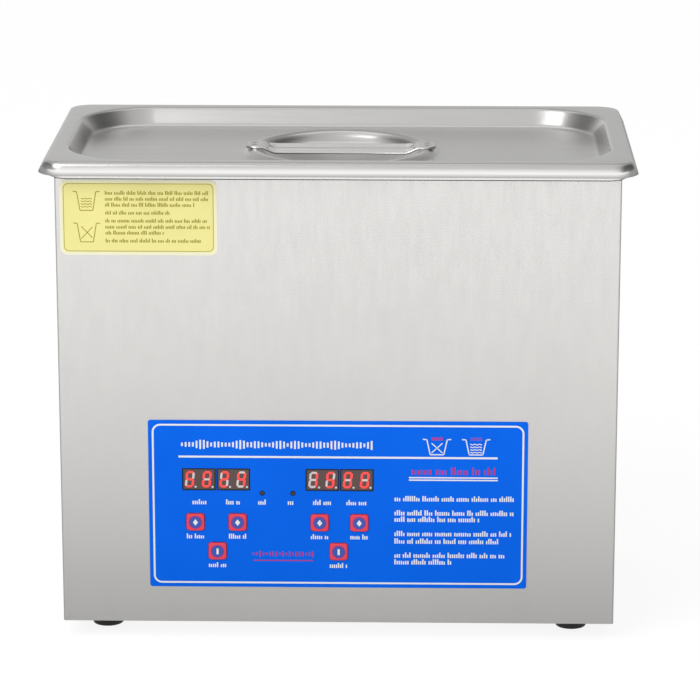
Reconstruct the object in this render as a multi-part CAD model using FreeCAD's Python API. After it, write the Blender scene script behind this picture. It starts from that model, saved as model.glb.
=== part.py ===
"""Benchtop ultrasonic cleaner: folded steel case, drawn tank, lift-off lid, basket, controls.

Millimetres, +Z up. The origin is on the bench, under the middle of the bounding box, and the
front faces -Y. Every y below is measured from the middle of the case; save() moves the parts
onto the origin at the end.
"""
import FreeCAD, Part
import math
import os

V = FreeCAD.Vector
X_AXIS = V(1, 0, 0)
Y_AXIS = V(0, 1, 0)
Z_AXIS = V(0, 0, 1)

# ---------------------------------------------------------------- driving dimensions
tank_length = 300.0          # mouth of the tank, along x
tank_width = 150.0           # mouth of the tank, along y
tank_depth = 150.0           # rim face to floor
tank_corner = 36.0           # plan radius of the mouth
tank_taper = 3.0             # each wall leans in by this much at the floor
tank_floor_radius = 12.0     # bend between walls and floor
tank_sheet = 0.8
rim_turn_down = 2.0          # rolled edge of the tank rim
rim_corner = 12.0

case_sheet = 0.8
case_margin_x = 3.5          # tank mouth to the outside of the case
case_margin_y = 4.0
case_bend = 1.2              # outer radius of the two folded front edges
rim_overhang = 4.0           # tank rim past the case
bay_height = 104.5           # case bottom to the underside of the tank
gasket_height = 2.1
gasket_land = 2.0            # gasket stands this far outside the case wall

foot_height = 10.0
foot_radius = 9.5
foot_inset_x = 22.5          # case side to foot centre
foot_inset_y = 27.5          # case front to foot centre

lid_overhang = 5.0           # lid lip past the tank rim
lid_sheet = 0.8
lid_gap = 0.3                # lid lip above the tank rim
lid_lip_height = 6.8
lid_lip_slope = 3.3          # the lip leans out by this much
lid_flat = 9.3               # flat band between lip and well
lid_corner = 14.0
lid_well_depth = 10.0
lid_well_slope = 6.0
lid_well_corner = 40.0
bead_outer = 54.0            # raised ring around the hand dish
bead_inner = 43.0
bead_height = 2.6
dish_depth = 15.0            # below the lid floor
strap_width = 18.0
strap_sheet = 1.5
strap_rib = 1.5              # radius of the two stiffening ribs
strap_drop = 2.2             # top of the strap below the lid floor

panel_width = 209.4
panel_height = 96.3
panel_corner = 1.5
panel_base = 20.6            # above the case bottom
panel_film = 0.5
label_left = 2.7             # case left edge to the label
label_width = 85.5
label_height = 41.7
label_corner = 4.0
label_top = 0.7              # below the case top
label_film = 0.15

display_width = 18.0
display_height = 12.2
display_pitch = 19.05
display_z = 83.0             # centre above the case bottom
display_recess = 0.2         # face behind the front of the film
display_back = 8.0           # case front to the back of the module
display_pair_x = {"temperature": -76.9, "time": -8.6}
led_x = (-41.9, -24.9)
led_z = 75.2
led_radius = 1.4
key_width = 10.0
key_height = 9.8
key_corner = 1.5
key_proud = 0.6
key_travel = 0.5
key_clearance = 0.25
key_flange = 1.2             # retaining edge behind the sheet, past the key on each side
key_rest_gap = 0.3
key_stem_radius = 1.5
upper_key_z = 58.4
lower_key_z = 41.6
key_places = {
    "key_temperature_up": (-79.0, upper_key_z),
    "key_temperature_down": (-55.6, upper_key_z),
    "key_time_up": (-10.1, upper_key_z),
    "key_time_down": (11.8, upper_key_z),
    "key_heater": (-66.9, lower_key_z),
    "key_ultrasound": (0.4, lower_key_z),
}
board_setback = 13.0         # inside of the case front to the control board
board_sheet = 1.6
board_side = (7.1, 7.55)     # board past the first and the last display
board_z = (31.0, 94.0)
cutout_clearance = 0.3

transducer_share = 85.0 / 300.0   # pitch as a share of the tank length
horn_radius = 29.5
horn_waist = 22.5
horn_height = 26.0
piezo_ring = 5.0             # thickness of each of the two ceramic rings
piezo_electrode = 0.4
piezo_bore = 7.5
back_mass_height = 20.0
bolt_radius = 5.0
bolt_head = 7.0

heater_length = 200.0
heater_height = 55.0
heater_sheet = 1.5
heater_base = 18.0           # above the tank floor

drain_inset = 32.0           # end of the tank mouth to the drain
drain_bore = 4.5
drain_flange = 10.0          # radius of the flange in the tank and of the nut under it
drain_flange_sheet = 1.5
drain_nut = 6.0
spigot_length = 20.0         # below the tank
hose_grip = 8.0              # how far the hose goes over the spigot and over the valve's tail
hose_gap = 1.2               # hose end to the valve's thread
drain_tube = 6.0
drain_bend = 22.0
hose_wall = 2.0
valve_reach = 42.0           # end of the barb behind the case
valve_radius = 12.0
valve_thread = 8.0
valve_thread_inside = 9.0    # thread length behind the rear panel
valve_nut = 4.5              # wall nut past the thread
valve_nut_height = 6.0
valve_flange = 2.5           # flange past the housing
valve_flange_depth = 4.0
valve_neck = 3.5             # wall around the stem
ball_setback = 17.0          # rear panel to the middle of the ball
ball_slot = 2.0              # depth of the slot that the stem's tongue turns
ball_slot_width = 3.0
ball_slot_length = 8.0
ball_radius = 8.0
ball_clearance = 0.05
stem_radius = 2.5
stem_clearance = 0.05
lever_length = 42.0
lever_width = 11.0
lever_sheet = 2.0
lever_rise = 6.0             # crank of the lever, up and along
lever_clear = 5.0            # lever above the housing
lever_nut = 4.2
lever_nut_height = 3.0
tail_collar = 9.0            # collar of the hose tail, against the valve
tail_collar_depth = 1.5
barb_radius = 6.5
barb_length = 14.0
barb_tip = 1.5               # length of the tapered end
barb_taper = 1.0

fan_share = 0.25             # fan's axis from the middle, as a share of the tank length
fan_z = 52.0                 # above the case bottom
fan_size = 60.0
fan_depth = 15.0
fan_bore = 28.0
fan_hub = 12.0
fan_tip_gap = 1.2
fan_blades = 7
fan_blade_sheet = 1.2
fan_blade_pitch = 52.0       # degrees
fan_strut = 3.0
fan_plate = 2.0
fan_screw_pitch = 50.0
guard_foot = 1.6
guard_wire = 1.0
guard_rings = 4
guard_pitch = 6.8

module_x = -20.0             # power inlet with switch and fuse
module_z = 52.0
module_width = 27.0
module_height = 47.5
module_depth = 27.0
module_flange = 2.5
module_lip = 2.0             # flange past the body
module_clearance = 0.25
ear_reach = 25.0             # middle of the module to the end of an ear
ear_pitch = 40.0
socket_width = 23.0
socket_height = 16.0
socket_depth = 17.0
socket_drop = 13.0           # socket centre below the module centre
pin_length = 15.0
fuse_width = 20.0
fuse_height = 6.4
fuse_rise = 1.2
fuse_depth = 21.0
fuse_clearance = 0.3
rocker_width = 19.0
rocker_radius = 7.0
rocker_rise = 13.6
rocker_tilt = 10.0           # half of the rocker's swing
rocker_clearance = 0.35
rocker_pivot_depth = 2.0     # behind the flange face

basket_gap = 11.0            # tank mouth to the basket side
basket_taper = 4.0
basket_corner = 22.0
basket_top = 30.0            # below the tank rim
basket_height = 104.0
basket_skin = 1.0
basket_wire = 3.0
basket_foot = 3.0
hook_wire = 2.4
hook_spread = 14.0           # half the distance between the two legs of a hook
hook_land = 5.0              # how far a hook lies over the rim
hook_gap = 0.3

screw_radius = 1.5
screw_head = 2.8
screw_head_height = 1.8
screw_clearance = 0.1
screw_recess = (0.7, 0.9)    # width and depth of each arm of the cross
case_screw_length = 6.0
module_screw_length = 8.0
flange_width = 12.0          # turned edges of the base and the rear panel

slot_rows = 5                # air slots of the rear panel, two columns
slot_pitch = 9.0
slot_length = 46.0
slot_height = 3.2
slot_column_x = 62.0
slot_rise = 118.0            # case bottom to the lowest slot
base_slot_rows = 7
base_slot_pitch = 10.0
base_slot_length = 60.0
base_slot_width = 3.0
base_slot_place = 0.36       # share of the half length

saddle_size = (18.0, 10.0, 4.0)
probe_offset = 12.0          # horn edge to the probe and the cutout
probe_radius = 3.0
probe_length = 24.0
cutout_cap = (8.0, 4.0)      # radius and height
cutout_body = (6.5, 8.0)
cutout_tag = (0.8, 6.0, 8.0)
cutout_tag_pitch = 6.0

chip_size = (20.0, 3.0, 10.0)
chip_place = (-26.0, 34.0)   # x, and z above the board's lower edge
header_size = (18.0, 6.0, 8.0)
standoff_inset = 4.0
standoff_radius = 3.0
pin_pitch = 2.54
pin_row = 10.0
pin_radius = 0.4
led_body = 7.0
led_leg_pitch = 1.6
ribbon_x = -36.0
ribbon_rise = 10.0           # above the board's lower edge
ribbon_width = 16.0
ribbon_sheet = 1.0
ribbon_landing = 8.0         # drive board's front edge to the ribbon
switch_size = 6.0
switch_height = 4.3
key_bottom_gap = 0.4
key_chamfer = 0.3
key_flange_sheet = 1.0

generator_share = 0.24       # half length of the drive board, as a share of the tank length
generator_y = (-48.0, 44.0)
generator_rise = 6.0         # spacers under the drive board
generator_sheet = 1.6
generator_inset = 5.0        # board edge to its spacers
bench_length = 300.0         # tank length to which the x places on the drive board belong
core_size = (32.0, 30.0, 24.0)
core_place = (-44.0, -5.0)
winding = (9.0, 38.0)        # radius and length
relay_size = (18.0, 20.0, 16.0)
relay_place = (31.0, -24.0)
can_size = (9.0, 22.0)
can_places = ((-8.0, 24.0), (14.0, 24.0))
choke = (8.0, 4.0)           # radius of the ring and of its wire bundle
choke_place = (2.0, -22.0)
choke_height = 9.0
sink_behind_fan = 27.0       # fan axis to the comb's back
sink_depth = 20.0
sink_y = (-40.0, 30.0)
sink_height = 24.0
sink_base = 3.0
sink_fins = 6
sink_fin = 1.2
sink_pitch = 4.5

# ---------------------------------------------------------------- derived levels and faces
case_bottom = foot_height
tank_bottom = case_bottom + bay_height
tank_floor = tank_bottom + tank_sheet
rim_top = tank_floor + tank_depth
case_top = rim_top - tank_sheet - gasket_height
case_x = tank_length / 2 + case_margin_x
case_y = tank_width / 2 + case_margin_y
inner_x = case_x - case_sheet
inner_y = case_y - case_sheet
rim_x = case_x + rim_overhang
rim_y = case_y + rim_overhang
lid_x = rim_x + lid_overhang
lid_y = rim_y + lid_overhang
lip_bottom = rim_top + lid_gap
lid_top = lip_bottom + lid_lip_height
lid_floor = lid_top - lid_well_depth
flat_x = lid_x - lid_lip_slope
flat_y = lid_y - lid_lip_slope
well_x = flat_x - lid_flat
well_y = flat_y - lid_flat
drain_x = -(tank_length / 2 - drain_inset)
drain_y = inner_y - valve_thread_inside - hose_gap - hose_grip - drain_bend
fan_x = tank_length * fan_share
transducer_pitch = tank_length * transducer_share
generator_half_x = tank_length * generator_share
board_x = (display_pair_x["temperature"] - display_width / 2 - board_side[0],
           display_pair_x["time"] + display_pitch + display_width / 2 + board_side[1])
front_film = -case_y - panel_film
rear_reach = case_y + valve_reach
row_shift = (rear_reach - lid_y) / 2
board_front = -inner_y + board_setback


# ---------------------------------------------------------------- shape helpers
def block(x0, x1, y0, y1, z0, z1):
    return Part.makeBox(x1 - x0, y1 - y0, z1 - z0, V(x0, y0, z0))


def rod(start, axis, radius, length):
    return Part.makeCylinder(radius, length, V(*start), axis)


def cone(start, axis, radius_start, radius_end, length):
    return Part.makeCone(radius_start, radius_end, length, V(*start), axis)


def rounded_wire(half_x, half_y, radius, z):
    """Rounded rectangle about the z axis: four sides and four quarter arcs."""
    edges = []
    inner_half_x = half_x - radius
    inner_half_y = half_y - radius
    corners = ((1, 1, 0), (-1, 1, 90), (-1, -1, 180), (1, -1, 270))
    for index, (sx, sy, start) in enumerate(corners):
        centre = V(sx * inner_half_x, sy * inner_half_y, z)
        a0 = math.radians(start)
        a1 = math.radians(start + 45)
        a2 = math.radians(start + 90)
        points = [centre + V(radius * math.cos(a), radius * math.sin(a), 0) for a in (a0, a1, a2)]
        edges.append(Part.Arc(*points).toShape())
        next_x, next_y, next_start = corners[(index + 1) % 4]
        next_centre = V(next_x * inner_half_x, next_y * inner_half_y, z)
        b0 = math.radians(next_start)
        next_point = next_centre + V(radius * math.cos(b0), radius * math.sin(b0), 0)
        edges.append(Part.LineSegment(points[2], next_point).toShape())
    return Part.Wire(edges)


def rounded_prism(half_x, half_y, radius, z0, z1):
    face = Part.Face(rounded_wire(half_x, half_y, radius, z0))
    return face.extrude(V(0, 0, z1 - z0))


def rounded_taper(half_x0, half_y0, radius0, z0, half_x1, half_y1, radius1, z1):
    """Solid between two rounded rectangles at different heights."""
    lower = rounded_wire(half_x0, half_y0, radius0, z0)
    upper = rounded_wire(half_x1, half_y1, radius1, z1)
    return Part.makeLoft([lower, upper], True, True)


def upright_plate(x, z, width, height, radius, y0, y1):
    """Rounded rectangular plate standing in the x-z plane, centred on x and z."""
    flat = rounded_prism(width / 2, height / 2, radius, 0, y1 - y0)
    flat.rotate(V(0, 0, 0), X_AXIS, 90)
    flat.translate(V(x, y1, z))
    return flat


def profile_prism(points, axis_from, axis_to, plane):
    """Prism of a closed outline. plane "yz" is pushed along x, plane "xz" along y."""
    if plane == "yz":
        corners = [V(axis_from, a, b) for a, b in points]
        push = V(axis_to - axis_from, 0, 0)
    else:
        corners = [V(a, axis_from, b) for a, b in points]
        push = V(0, axis_to - axis_from, 0)
    return Part.Face(Part.makePolygon(corners + corners[:1])).extrude(push)


def joined(shapes):
    first, rest = shapes[0], shapes[1:]
    return first.fuse(rest).removeSplitter() if rest else first


def rounded_path(points, radii):
    """Wire of straight runs with a tangent arc at each inner point."""
    corners = [V(*p) for p in points]
    edges = []
    here = corners[0]
    for index in range(1, len(corners) - 1):
        corner = corners[index]
        into = (corner - corners[index - 1]).normalize()
        out = (corners[index + 1] - corner).normalize()
        turn = into.getAngle(out)
        back = radii[index - 1] * math.tan(turn / 2)
        start = corner - into * back
        end = corner + out * back
        bisector = (out - into).normalize()
        centre = corner + bisector * (radii[index - 1] / math.cos(turn / 2))
        middle = centre - bisector * radii[index - 1]
        if (start - here).Length > 1e-6:
            edges.append(Part.LineSegment(here, start).toShape())
        edges.append(Part.Arc(start, middle, end).toShape())
        here = end
    edges.append(Part.LineSegment(here, corners[-1]).toShape())
    return Part.Wire(edges)


def wire_rod(path, radius):
    """Round wire carried along a path."""
    start = path.Edges[0].valueAt(path.Edges[0].FirstParameter)
    direction = path.Edges[0].tangentAt(path.Edges[0].FirstParameter)
    section = Part.Wire(Part.makeCircle(radius, start, direction))
    return path.makePipeShell([section], True, False)


def save(name, shape):
    moved = shape.copy()
    moved.translate(V(0, -row_shift, 0))
    moved.exportStep("parts/" + name + ".step")


os.makedirs("parts", exist_ok=True)

# ---------------------------------------------------------------- screws, used all over the case
side_screw_z = (case_bottom + 40, (case_bottom + case_top) / 2, case_top - 40)
side_screw_y = inner_y - flange_width / 2
base_screw_y = (-case_y * 0.55, case_y * 0.35)
base_screw_z = case_bottom + flange_width / 2
fan_centre_z = case_bottom + fan_z
module_centre_z = case_bottom + module_z
foot_places = [(sx * (case_x - foot_inset_x), sy * (case_y - foot_inset_y))
               for sx in (-1, 1) for sy in (-1, 1)]


def screw(place, direction, length):
    """Pan-head screw: the head's seat is at place, the shank runs along direction."""
    seat = V(*place)
    head = Part.makeCylinder(screw_head, screw_head_height, seat, direction * -1)
    top = [edge for edge in head.Edges
           if (edge.CenterOfMass - seat).Length > screw_head_height * 0.9 and edge.Closed]
    head = head.makeFillet(screw_head_height * 0.55, top[:1])
    slot_across = direction.cross(X_AXIS if abs(direction.x) < 0.5 else Z_AXIS)
    slots = []
    width, depth = screw_recess
    for turn in (0, 90):
        slot = Part.makeBox(screw_head * 1.1, width, depth,
                            V(-screw_head * 0.55, -width / 2, -depth))
        slot.rotate(V(0, 0, 0), Z_AXIS, turn + 45)
        slot.Placement = FreeCAD.Placement(seat - direction * screw_head_height,
                                           FreeCAD.Rotation(Z_AXIS, direction * -1)
                                           ).multiply(slot.Placement)
        slots.append(slot)
    shank = Part.makeCylinder(screw_radius, length, seat, direction)
    return head.cut(slots).fuse(shank).removeSplitter()


def screw_holes(places, direction, reach):
    """Clearance cutters for a row of screws, each reaching both ways from its seat."""
    return [Part.makeCylinder(screw_radius + screw_clearance, 2 * reach,
                              V(*place) - direction * reach, direction) for place in places]


side_screws = [(sx * case_x, side_screw_y, z) for sx in (-1, 1) for z in side_screw_z]
base_screws = [(sx * case_x, y, base_screw_z) for sx in (-1, 1) for y in base_screw_y]
fan_screws = [(fan_x + sx * fan_screw_pitch / 2, case_y, fan_centre_z + sz * fan_screw_pitch / 2)
              for sx in (-1, 1) for sz in (-1, 1)]
module_screws = [(module_x + sx * ear_pitch / 2, case_y, module_centre_z) for sx in (-1, 1)]
foot_screw_seat = foot_height * 0.45
foot_screws = [(x, y, foot_screw_seat) for x, y in foot_places]


# ---------------------------------------------------------------- windows shared by film and case
def display_centres():
    """Name, x and z of the four two-digit windows."""
    names = {"temperature": ("display_set", "display_actual"),
             "time": ("display_minutes", "display_seconds")}
    z = case_bottom + display_z
    for pair, first_x in display_pair_x.items():
        for step, name in enumerate(names[pair]):
            yield name, first_x + step * display_pitch, z


def window_cutters(y0, y1):
    """Windows, key holes and lamp holes through anything between y0 and y1."""
    cutters = []
    for name, x, z in display_centres():
        cutters.append(upright_plate(x, z, display_width + 2 * cutout_clearance,
                                     display_height + 2 * cutout_clearance, 0.5, y0, y1))
    for x, rise in key_places.values():
        cutters.append(upright_plate(x, case_bottom + rise, key_width + 2 * key_clearance,
                                     key_height + 2 * key_clearance,
                                     key_corner + key_clearance, y0, y1))
    for x in led_x:
        cutters.append(rod((x, y0, case_bottom + led_z), Y_AXIS, led_radius + 0.1, y1 - y0))
    return cutters


# ---------------------------------------------------------------- enclosure
def case_wrap():
    """Front and both sides, one folded sheet."""
    outer = block(-case_x, case_x, -case_y, inner_y, case_bottom, case_top)
    folds = [edge for edge in outer.Edges
             if abs(edge.CenterOfMass.y + case_y) < 1e-6
             and abs(abs(edge.CenterOfMass.x) - case_x) < 1e-6]
    outer = outer.makeFillet(case_bend, folds)
    hollow = block(-inner_x, inner_x, -inner_y, inner_y + 1, case_bottom - 1, case_top + 1)
    folds = [edge for edge in hollow.Edges
             if abs(edge.CenterOfMass.y + inner_y) < 1e-6
             and abs(abs(edge.CenterOfMass.x) - inner_x) < 1e-6]
    hollow = hollow.makeFillet(case_bend - case_sheet, folds)
    holes = window_cutters(-case_y - 1, -inner_y + 1)
    holes += screw_holes(side_screws + base_screws, X_AXIS, case_sheet + 1)
    return outer.cut([hollow] + holes)


def module_block(clearance, y0, y1):
    """Rectangle of the power module's body, grown by a clearance."""
    half = module_width / 2 + clearance
    tall = module_height / 2 + clearance
    return block(module_x - half, module_x + half, y0, y1,
                 module_centre_z - tall, module_centre_z + tall)


def rear_panel():
    """Back sheet with turned side edges, air slots and every rear cut-out."""
    side = inner_x - case_sheet
    low = case_bottom + flange_width + 4
    high = case_top - 12
    sheet = block(-case_x, case_x, inner_y, case_y, case_bottom, case_top)
    turned = [block(min(sx * side, sx * inner_x), max(sx * side, sx * inner_x),
                    inner_y - flange_width, inner_y, low, high) for sx in (-1, 1)]
    panel = joined([sheet] + turned)
    cutters = [rod((fan_x, inner_y - 1, fan_centre_z), Y_AXIS, fan_bore, case_sheet + 2),
               rod((drain_x, inner_y - 1, valve_z), Y_AXIS, valve_thread + 0.2, case_sheet + 2),
               module_block(module_clearance, inner_y - 1, case_y + 1)]
    cutters += screw_holes(fan_screws + module_screws, Y_AXIS, case_sheet + 1)
    cutters += screw_holes(side_screws, X_AXIS, 2 * case_sheet + 1)
    for column in (-1, 1):
        for row in range(slot_rows):
            z = case_bottom + slot_rise + row * slot_pitch
            x = column * slot_column_x
            cutters.append(upright_plate(x, z, slot_length, slot_height, slot_height * 0.49,
                                         inner_y - 1, case_y + 1))
    return panel.cut(cutters)


def base_plate():
    """Bottom sheet with four turned-up edges, air slots and foot screw holes."""
    plate = block(-inner_x, inner_x, -inner_y, inner_y, case_bottom, case_bottom + case_sheet)
    up = case_bottom + flange_width
    walls = [block(-inner_x, inner_x, -inner_y, -inner_y + case_sheet, case_bottom, up),
             block(-inner_x, inner_x, inner_y - case_sheet, inner_y, case_bottom, up)]
    for sx in (-1, 1):
        a = sx * inner_x
        b = sx * (inner_x - case_sheet)
        walls.append(block(min(a, b), max(a, b), -inner_y, inner_y, case_bottom, up))
    base = joined([plate] + walls)
    folds = [edge for edge in base.Edges
             if abs(edge.CenterOfMass.y + inner_y) < 1e-6
             and abs(abs(edge.CenterOfMass.x) - inner_x) < 1e-6]
    base = base.makeFillet(case_bend - case_sheet, folds)
    cutters = screw_holes(base_screws, X_AXIS, 2 * case_sheet + 1)
    cutters += screw_holes([(x, y, case_bottom) for x, y in foot_places], Z_AXIS, case_sheet + 1)
    for column in (-1, 1):
        for row in range(base_slot_rows):
            y = (row - (base_slot_rows - 1) / 2) * base_slot_pitch
            slot = rounded_prism(base_slot_length / 2, base_slot_width / 2,
                                 base_slot_width * 0.49, case_bottom - 1, case_bottom + 2)
            slot.translate(V(column * inner_x * base_slot_place, y, 0))
            cutters.append(slot)
    return base.cut(cutters)


def foot(x, y):
    """Rubber foot, slightly coned, with a pocket for its screw."""
    body = cone((x, y, 0), Z_AXIS, foot_radius * 0.9, foot_radius, foot_height)
    low_edge = [edge for edge in body.Edges
                if edge.Closed and edge.CenterOfMass.z < 1e-6]
    body = body.makeFillet(0.8, low_edge)
    pocket = rod((x, y, -1), Z_AXIS, screw_head + 0.6, foot_screw_seat + 1)
    hole = rod((x, y, -1), Z_AXIS, screw_radius + screw_clearance, foot_height + 2)
    return body.cut([pocket, hole])


def all_screws():
    shapes = [screw(place, X_AXIS * (-1 if place[0] > 0 else 1), case_screw_length)
              for place in side_screws + base_screws]
    shapes += [screw((x, case_y + guard_foot, z), Y_AXIS * -1, fan_depth + 3)
               for x, y, z in fan_screws]
    shapes += [screw((x, case_y + module_flange, z), Y_AXIS * -1, module_screw_length)
               for x, y, z in module_screws]
    shapes += [screw(place, Z_AXIS, foot_height - foot_screw_seat + 5) for place in foot_screws]
    return Part.makeCompound(shapes)


def panel_overlay():
    """Printed control film on the case front."""
    film = upright_plate(0, case_bottom + panel_base + panel_height / 2, panel_width,
                         panel_height, panel_corner, front_film, -case_y)
    return film.cut(window_cutters(front_film - 1, -case_y + 1))


def notice_label():
    x = -case_x + label_left + label_width / 2
    z = case_top - label_top - label_height / 2
    return upright_plate(x, z, label_width, label_height, label_corner,
                         -case_y - label_film, -case_y)


# ---------------------------------------------------------------- tank and what is bonded to it
def tank_wall(offset, z0, z1):
    """The tank's tapered form, moved outwards by offset, between two heights."""
    def half(z):
        lean = tank_taper * (rim_top - z) / tank_depth
        return (tank_length / 2 + offset - lean, tank_width / 2 + offset - lean,
                tank_corner + offset - lean)
    return rounded_taper(*half(z0), z0, *half(z1), z1)


def rounded_bottom(solid, z, radius):
    edges = [edge for edge in solid.Edges if abs(edge.CenterOfMass.z - z) < 1e-6]
    return solid.makeFillet(radius, edges)


def drawn_tank():
    """Tapered pan with a flat rim whose edge turns down."""
    outer = rounded_bottom(tank_wall(tank_sheet, tank_bottom, rim_top), tank_bottom,
                           tank_floor_radius + tank_sheet)
    inner = rounded_bottom(tank_wall(0, tank_floor, rim_top), tank_floor, tank_floor_radius)
    rim = rounded_prism(rim_x, rim_y, rim_corner, rim_top - rim_turn_down, rim_top)
    under = rounded_prism(rim_x - tank_sheet, rim_y - tank_sheet, rim_corner - tank_sheet,
                          rim_top - rim_turn_down, rim_top - tank_sheet)
    rim = rim.cut(under)
    drain = rod((drain_x, drain_y, tank_bottom - 1), Z_AXIS, drain_tube, 3)
    return rim.fuse(outer).cut([inner, drain])


def tank_gasket():
    """Soft strip between the case edge and the tank rim."""
    top = rim_top - tank_sheet
    outer = rounded_prism(case_x + gasket_land, case_y + gasket_land, rim_corner - gasket_land,
                          case_top, top)
    return outer.cut(tank_wall(tank_sheet, case_top - 1, rim_top))


transducer_x = (-transducer_pitch, 0.0, transducer_pitch)
horn_bottom = tank_bottom - horn_height
piezo_bottom = horn_bottom - 2 * piezo_ring - piezo_electrode
mass_bottom = piezo_bottom - back_mass_height


def horn(x):
    """Aluminium front mass, wide where it is bonded to the tank."""
    skirt = rod((x, 0, tank_bottom - 5), Z_AXIS, horn_radius, 5)
    bell = cone((x, 0, horn_bottom + 6), Z_AXIS, horn_waist, horn_radius, horn_height - 11)
    neck = rod((x, 0, horn_bottom), Z_AXIS, horn_waist, 6)
    bore = rod((x, 0, horn_bottom - 1), Z_AXIS, bolt_radius, horn_height * 0.6 + 1)
    return joined([skirt, bell, neck]).cut(bore)


def piezo_stack(x):
    """Two ceramic rings with a brass electrode between them and its solder tag."""
    rings = []
    for level in (0, piezo_ring + piezo_electrode):
        ring = rod((x, 0, piezo_bottom + level), Z_AXIS, horn_waist, piezo_ring)
        rings.append(ring.cut(rod((x, 0, piezo_bottom - 1), Z_AXIS, piezo_bore, 20)))
    electrode = rod((x, 0, piezo_bottom + piezo_ring), Z_AXIS, horn_waist + 0.5, piezo_electrode)
    tag = block(x - 2, x + 2, horn_waist - 1, horn_waist + 7, piezo_bottom + piezo_ring,
                piezo_bottom + piezo_ring + piezo_electrode)
    electrode = electrode.fuse(tag).cut(rod((x, 0, piezo_bottom), Z_AXIS, piezo_bore, 20))
    return Part.makeCompound(rings + [electrode.removeSplitter()])


def back_mass(x):
    mass = rod((x, 0, mass_bottom), Z_AXIS, horn_waist, back_mass_height)
    edges = [edge for edge in mass.Edges
             if edge.Closed and abs(edge.CenterOfMass.z - mass_bottom) < 1e-6]
    return mass.makeChamfer(1.0, edges).cut(rod((x, 0, mass_bottom - 1), Z_AXIS,
                                                bolt_radius, back_mass_height + 2))


def transducer_bolts():
    """One socket-head bolt through each stack, into the horn."""
    bolts = []
    reach = horn_bottom + horn_height * 0.5 - mass_bottom
    for x in transducer_x:
        head = rod((x, 0, mass_bottom - bolt_head), Z_AXIS, bolt_radius * 1.6, bolt_head)
        shank = rod((x, 0, mass_bottom), Z_AXIS, bolt_radius, reach)
        key = Part.makePolygon([V(x + 4.0 * math.cos(math.radians(60 * i)),
                                  4.0 * math.sin(math.radians(60 * i)),
                                  mass_bottom - bolt_head) for i in range(7)])
        socket = Part.Face(key).extrude(V(0, 0, bolt_head * 0.6))
        bolts.append(head.fuse(shank).removeSplitter().cut(socket))
    return Part.makeCompound(bolts)


def heater_pads():
    """Flat heating elements bonded to both long walls."""
    z0 = tank_floor + heater_base
    z1 = z0 + heater_height
    shell = tank_wall(tank_sheet + heater_sheet, z0, z1).cut(tank_wall(tank_sheet, z0 - 1, z1 + 1))
    half = heater_length / 2
    pads = [shell.common(block(-half, half, min(0, side * case_y), max(0, side * case_y),
                               z0, z1)) for side in (-1, 1)]
    return Part.makeCompound(pads)


def temperature_probe():
    """Sensor bulb in a saddle on the tank floor, with its sleeve."""
    x = -transducer_pitch / 2
    y = horn_radius + probe_offset
    long, wide, thick = saddle_size
    saddle = block(x - long / 2, x + long / 2, y - wide / 2, y + wide / 2, tank_bottom - thick,
                   tank_bottom)
    bulb = rod((x - probe_length / 2, y, tank_bottom - thick - 1), X_AXIS, probe_radius,
               probe_length)
    return saddle.fuse(bulb).removeSplitter()


def thermal_cutout():
    """Snap-disc switch with two blade tags."""
    x = transducer_pitch / 2
    y = horn_radius + probe_offset
    cap_radius, cap_height = cutout_cap
    body_radius, body_height = cutout_body
    sheet, wide, tall = cutout_tag
    body_top = tank_bottom - cap_height
    body_end = body_top - body_height
    cap = rod((x, y, body_top), Z_AXIS, cap_radius, cap_height)
    body = rod((x, y, body_end), Z_AXIS, body_radius, body_height)
    tags = []
    for side in (-1, 1):
        middle = x + side * cutout_tag_pitch / 2
        tags.append(block(middle - sheet / 2, middle + sheet / 2, y - wide / 2, y + wide / 2,
                          body_end - tall, body_end))
    return joined([cap, body] + tags)


# ---------------------------------------------------------------- drain
spigot_end = tank_bottom - spigot_length
valve_z = spigot_end - drain_bend
valve_inlet = drain_y + drain_bend
ball_y = case_y + ball_setback
valve_body_end = case_y + valve_reach - barb_length
lever_level = valve_z + valve_radius + lever_clear


def drain_spigot():
    """Flanged outlet through the tank floor with its nut underneath."""
    flange = rod((drain_x, drain_y, tank_floor), Z_AXIS, drain_flange, drain_flange_sheet)
    tube = rod((drain_x, drain_y, spigot_end), Z_AXIS, drain_tube, tank_floor - spigot_end)
    nut = rod((drain_x, drain_y, tank_bottom - drain_nut), Z_AXIS, drain_flange, drain_nut)
    bore = rod((drain_x, drain_y, spigot_end - 1), Z_AXIS, drain_bore, tank_depth)
    return joined([flange, tube, nut]).cut(bore)


def drain_hose():
    """Rubber hose from the spigot, round one bend, onto the valve's inner tail."""
    path = rounded_path([(drain_x, drain_y, spigot_end + hose_grip),
                         (drain_x, drain_y, valve_z),
                         (drain_x, valve_inlet + hose_grip, valve_z)], [drain_bend])
    outer = wire_rod(path, drain_tube + hose_wall)
    inner = wire_rod(path, drain_tube)
    return outer.cut(inner)


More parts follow.
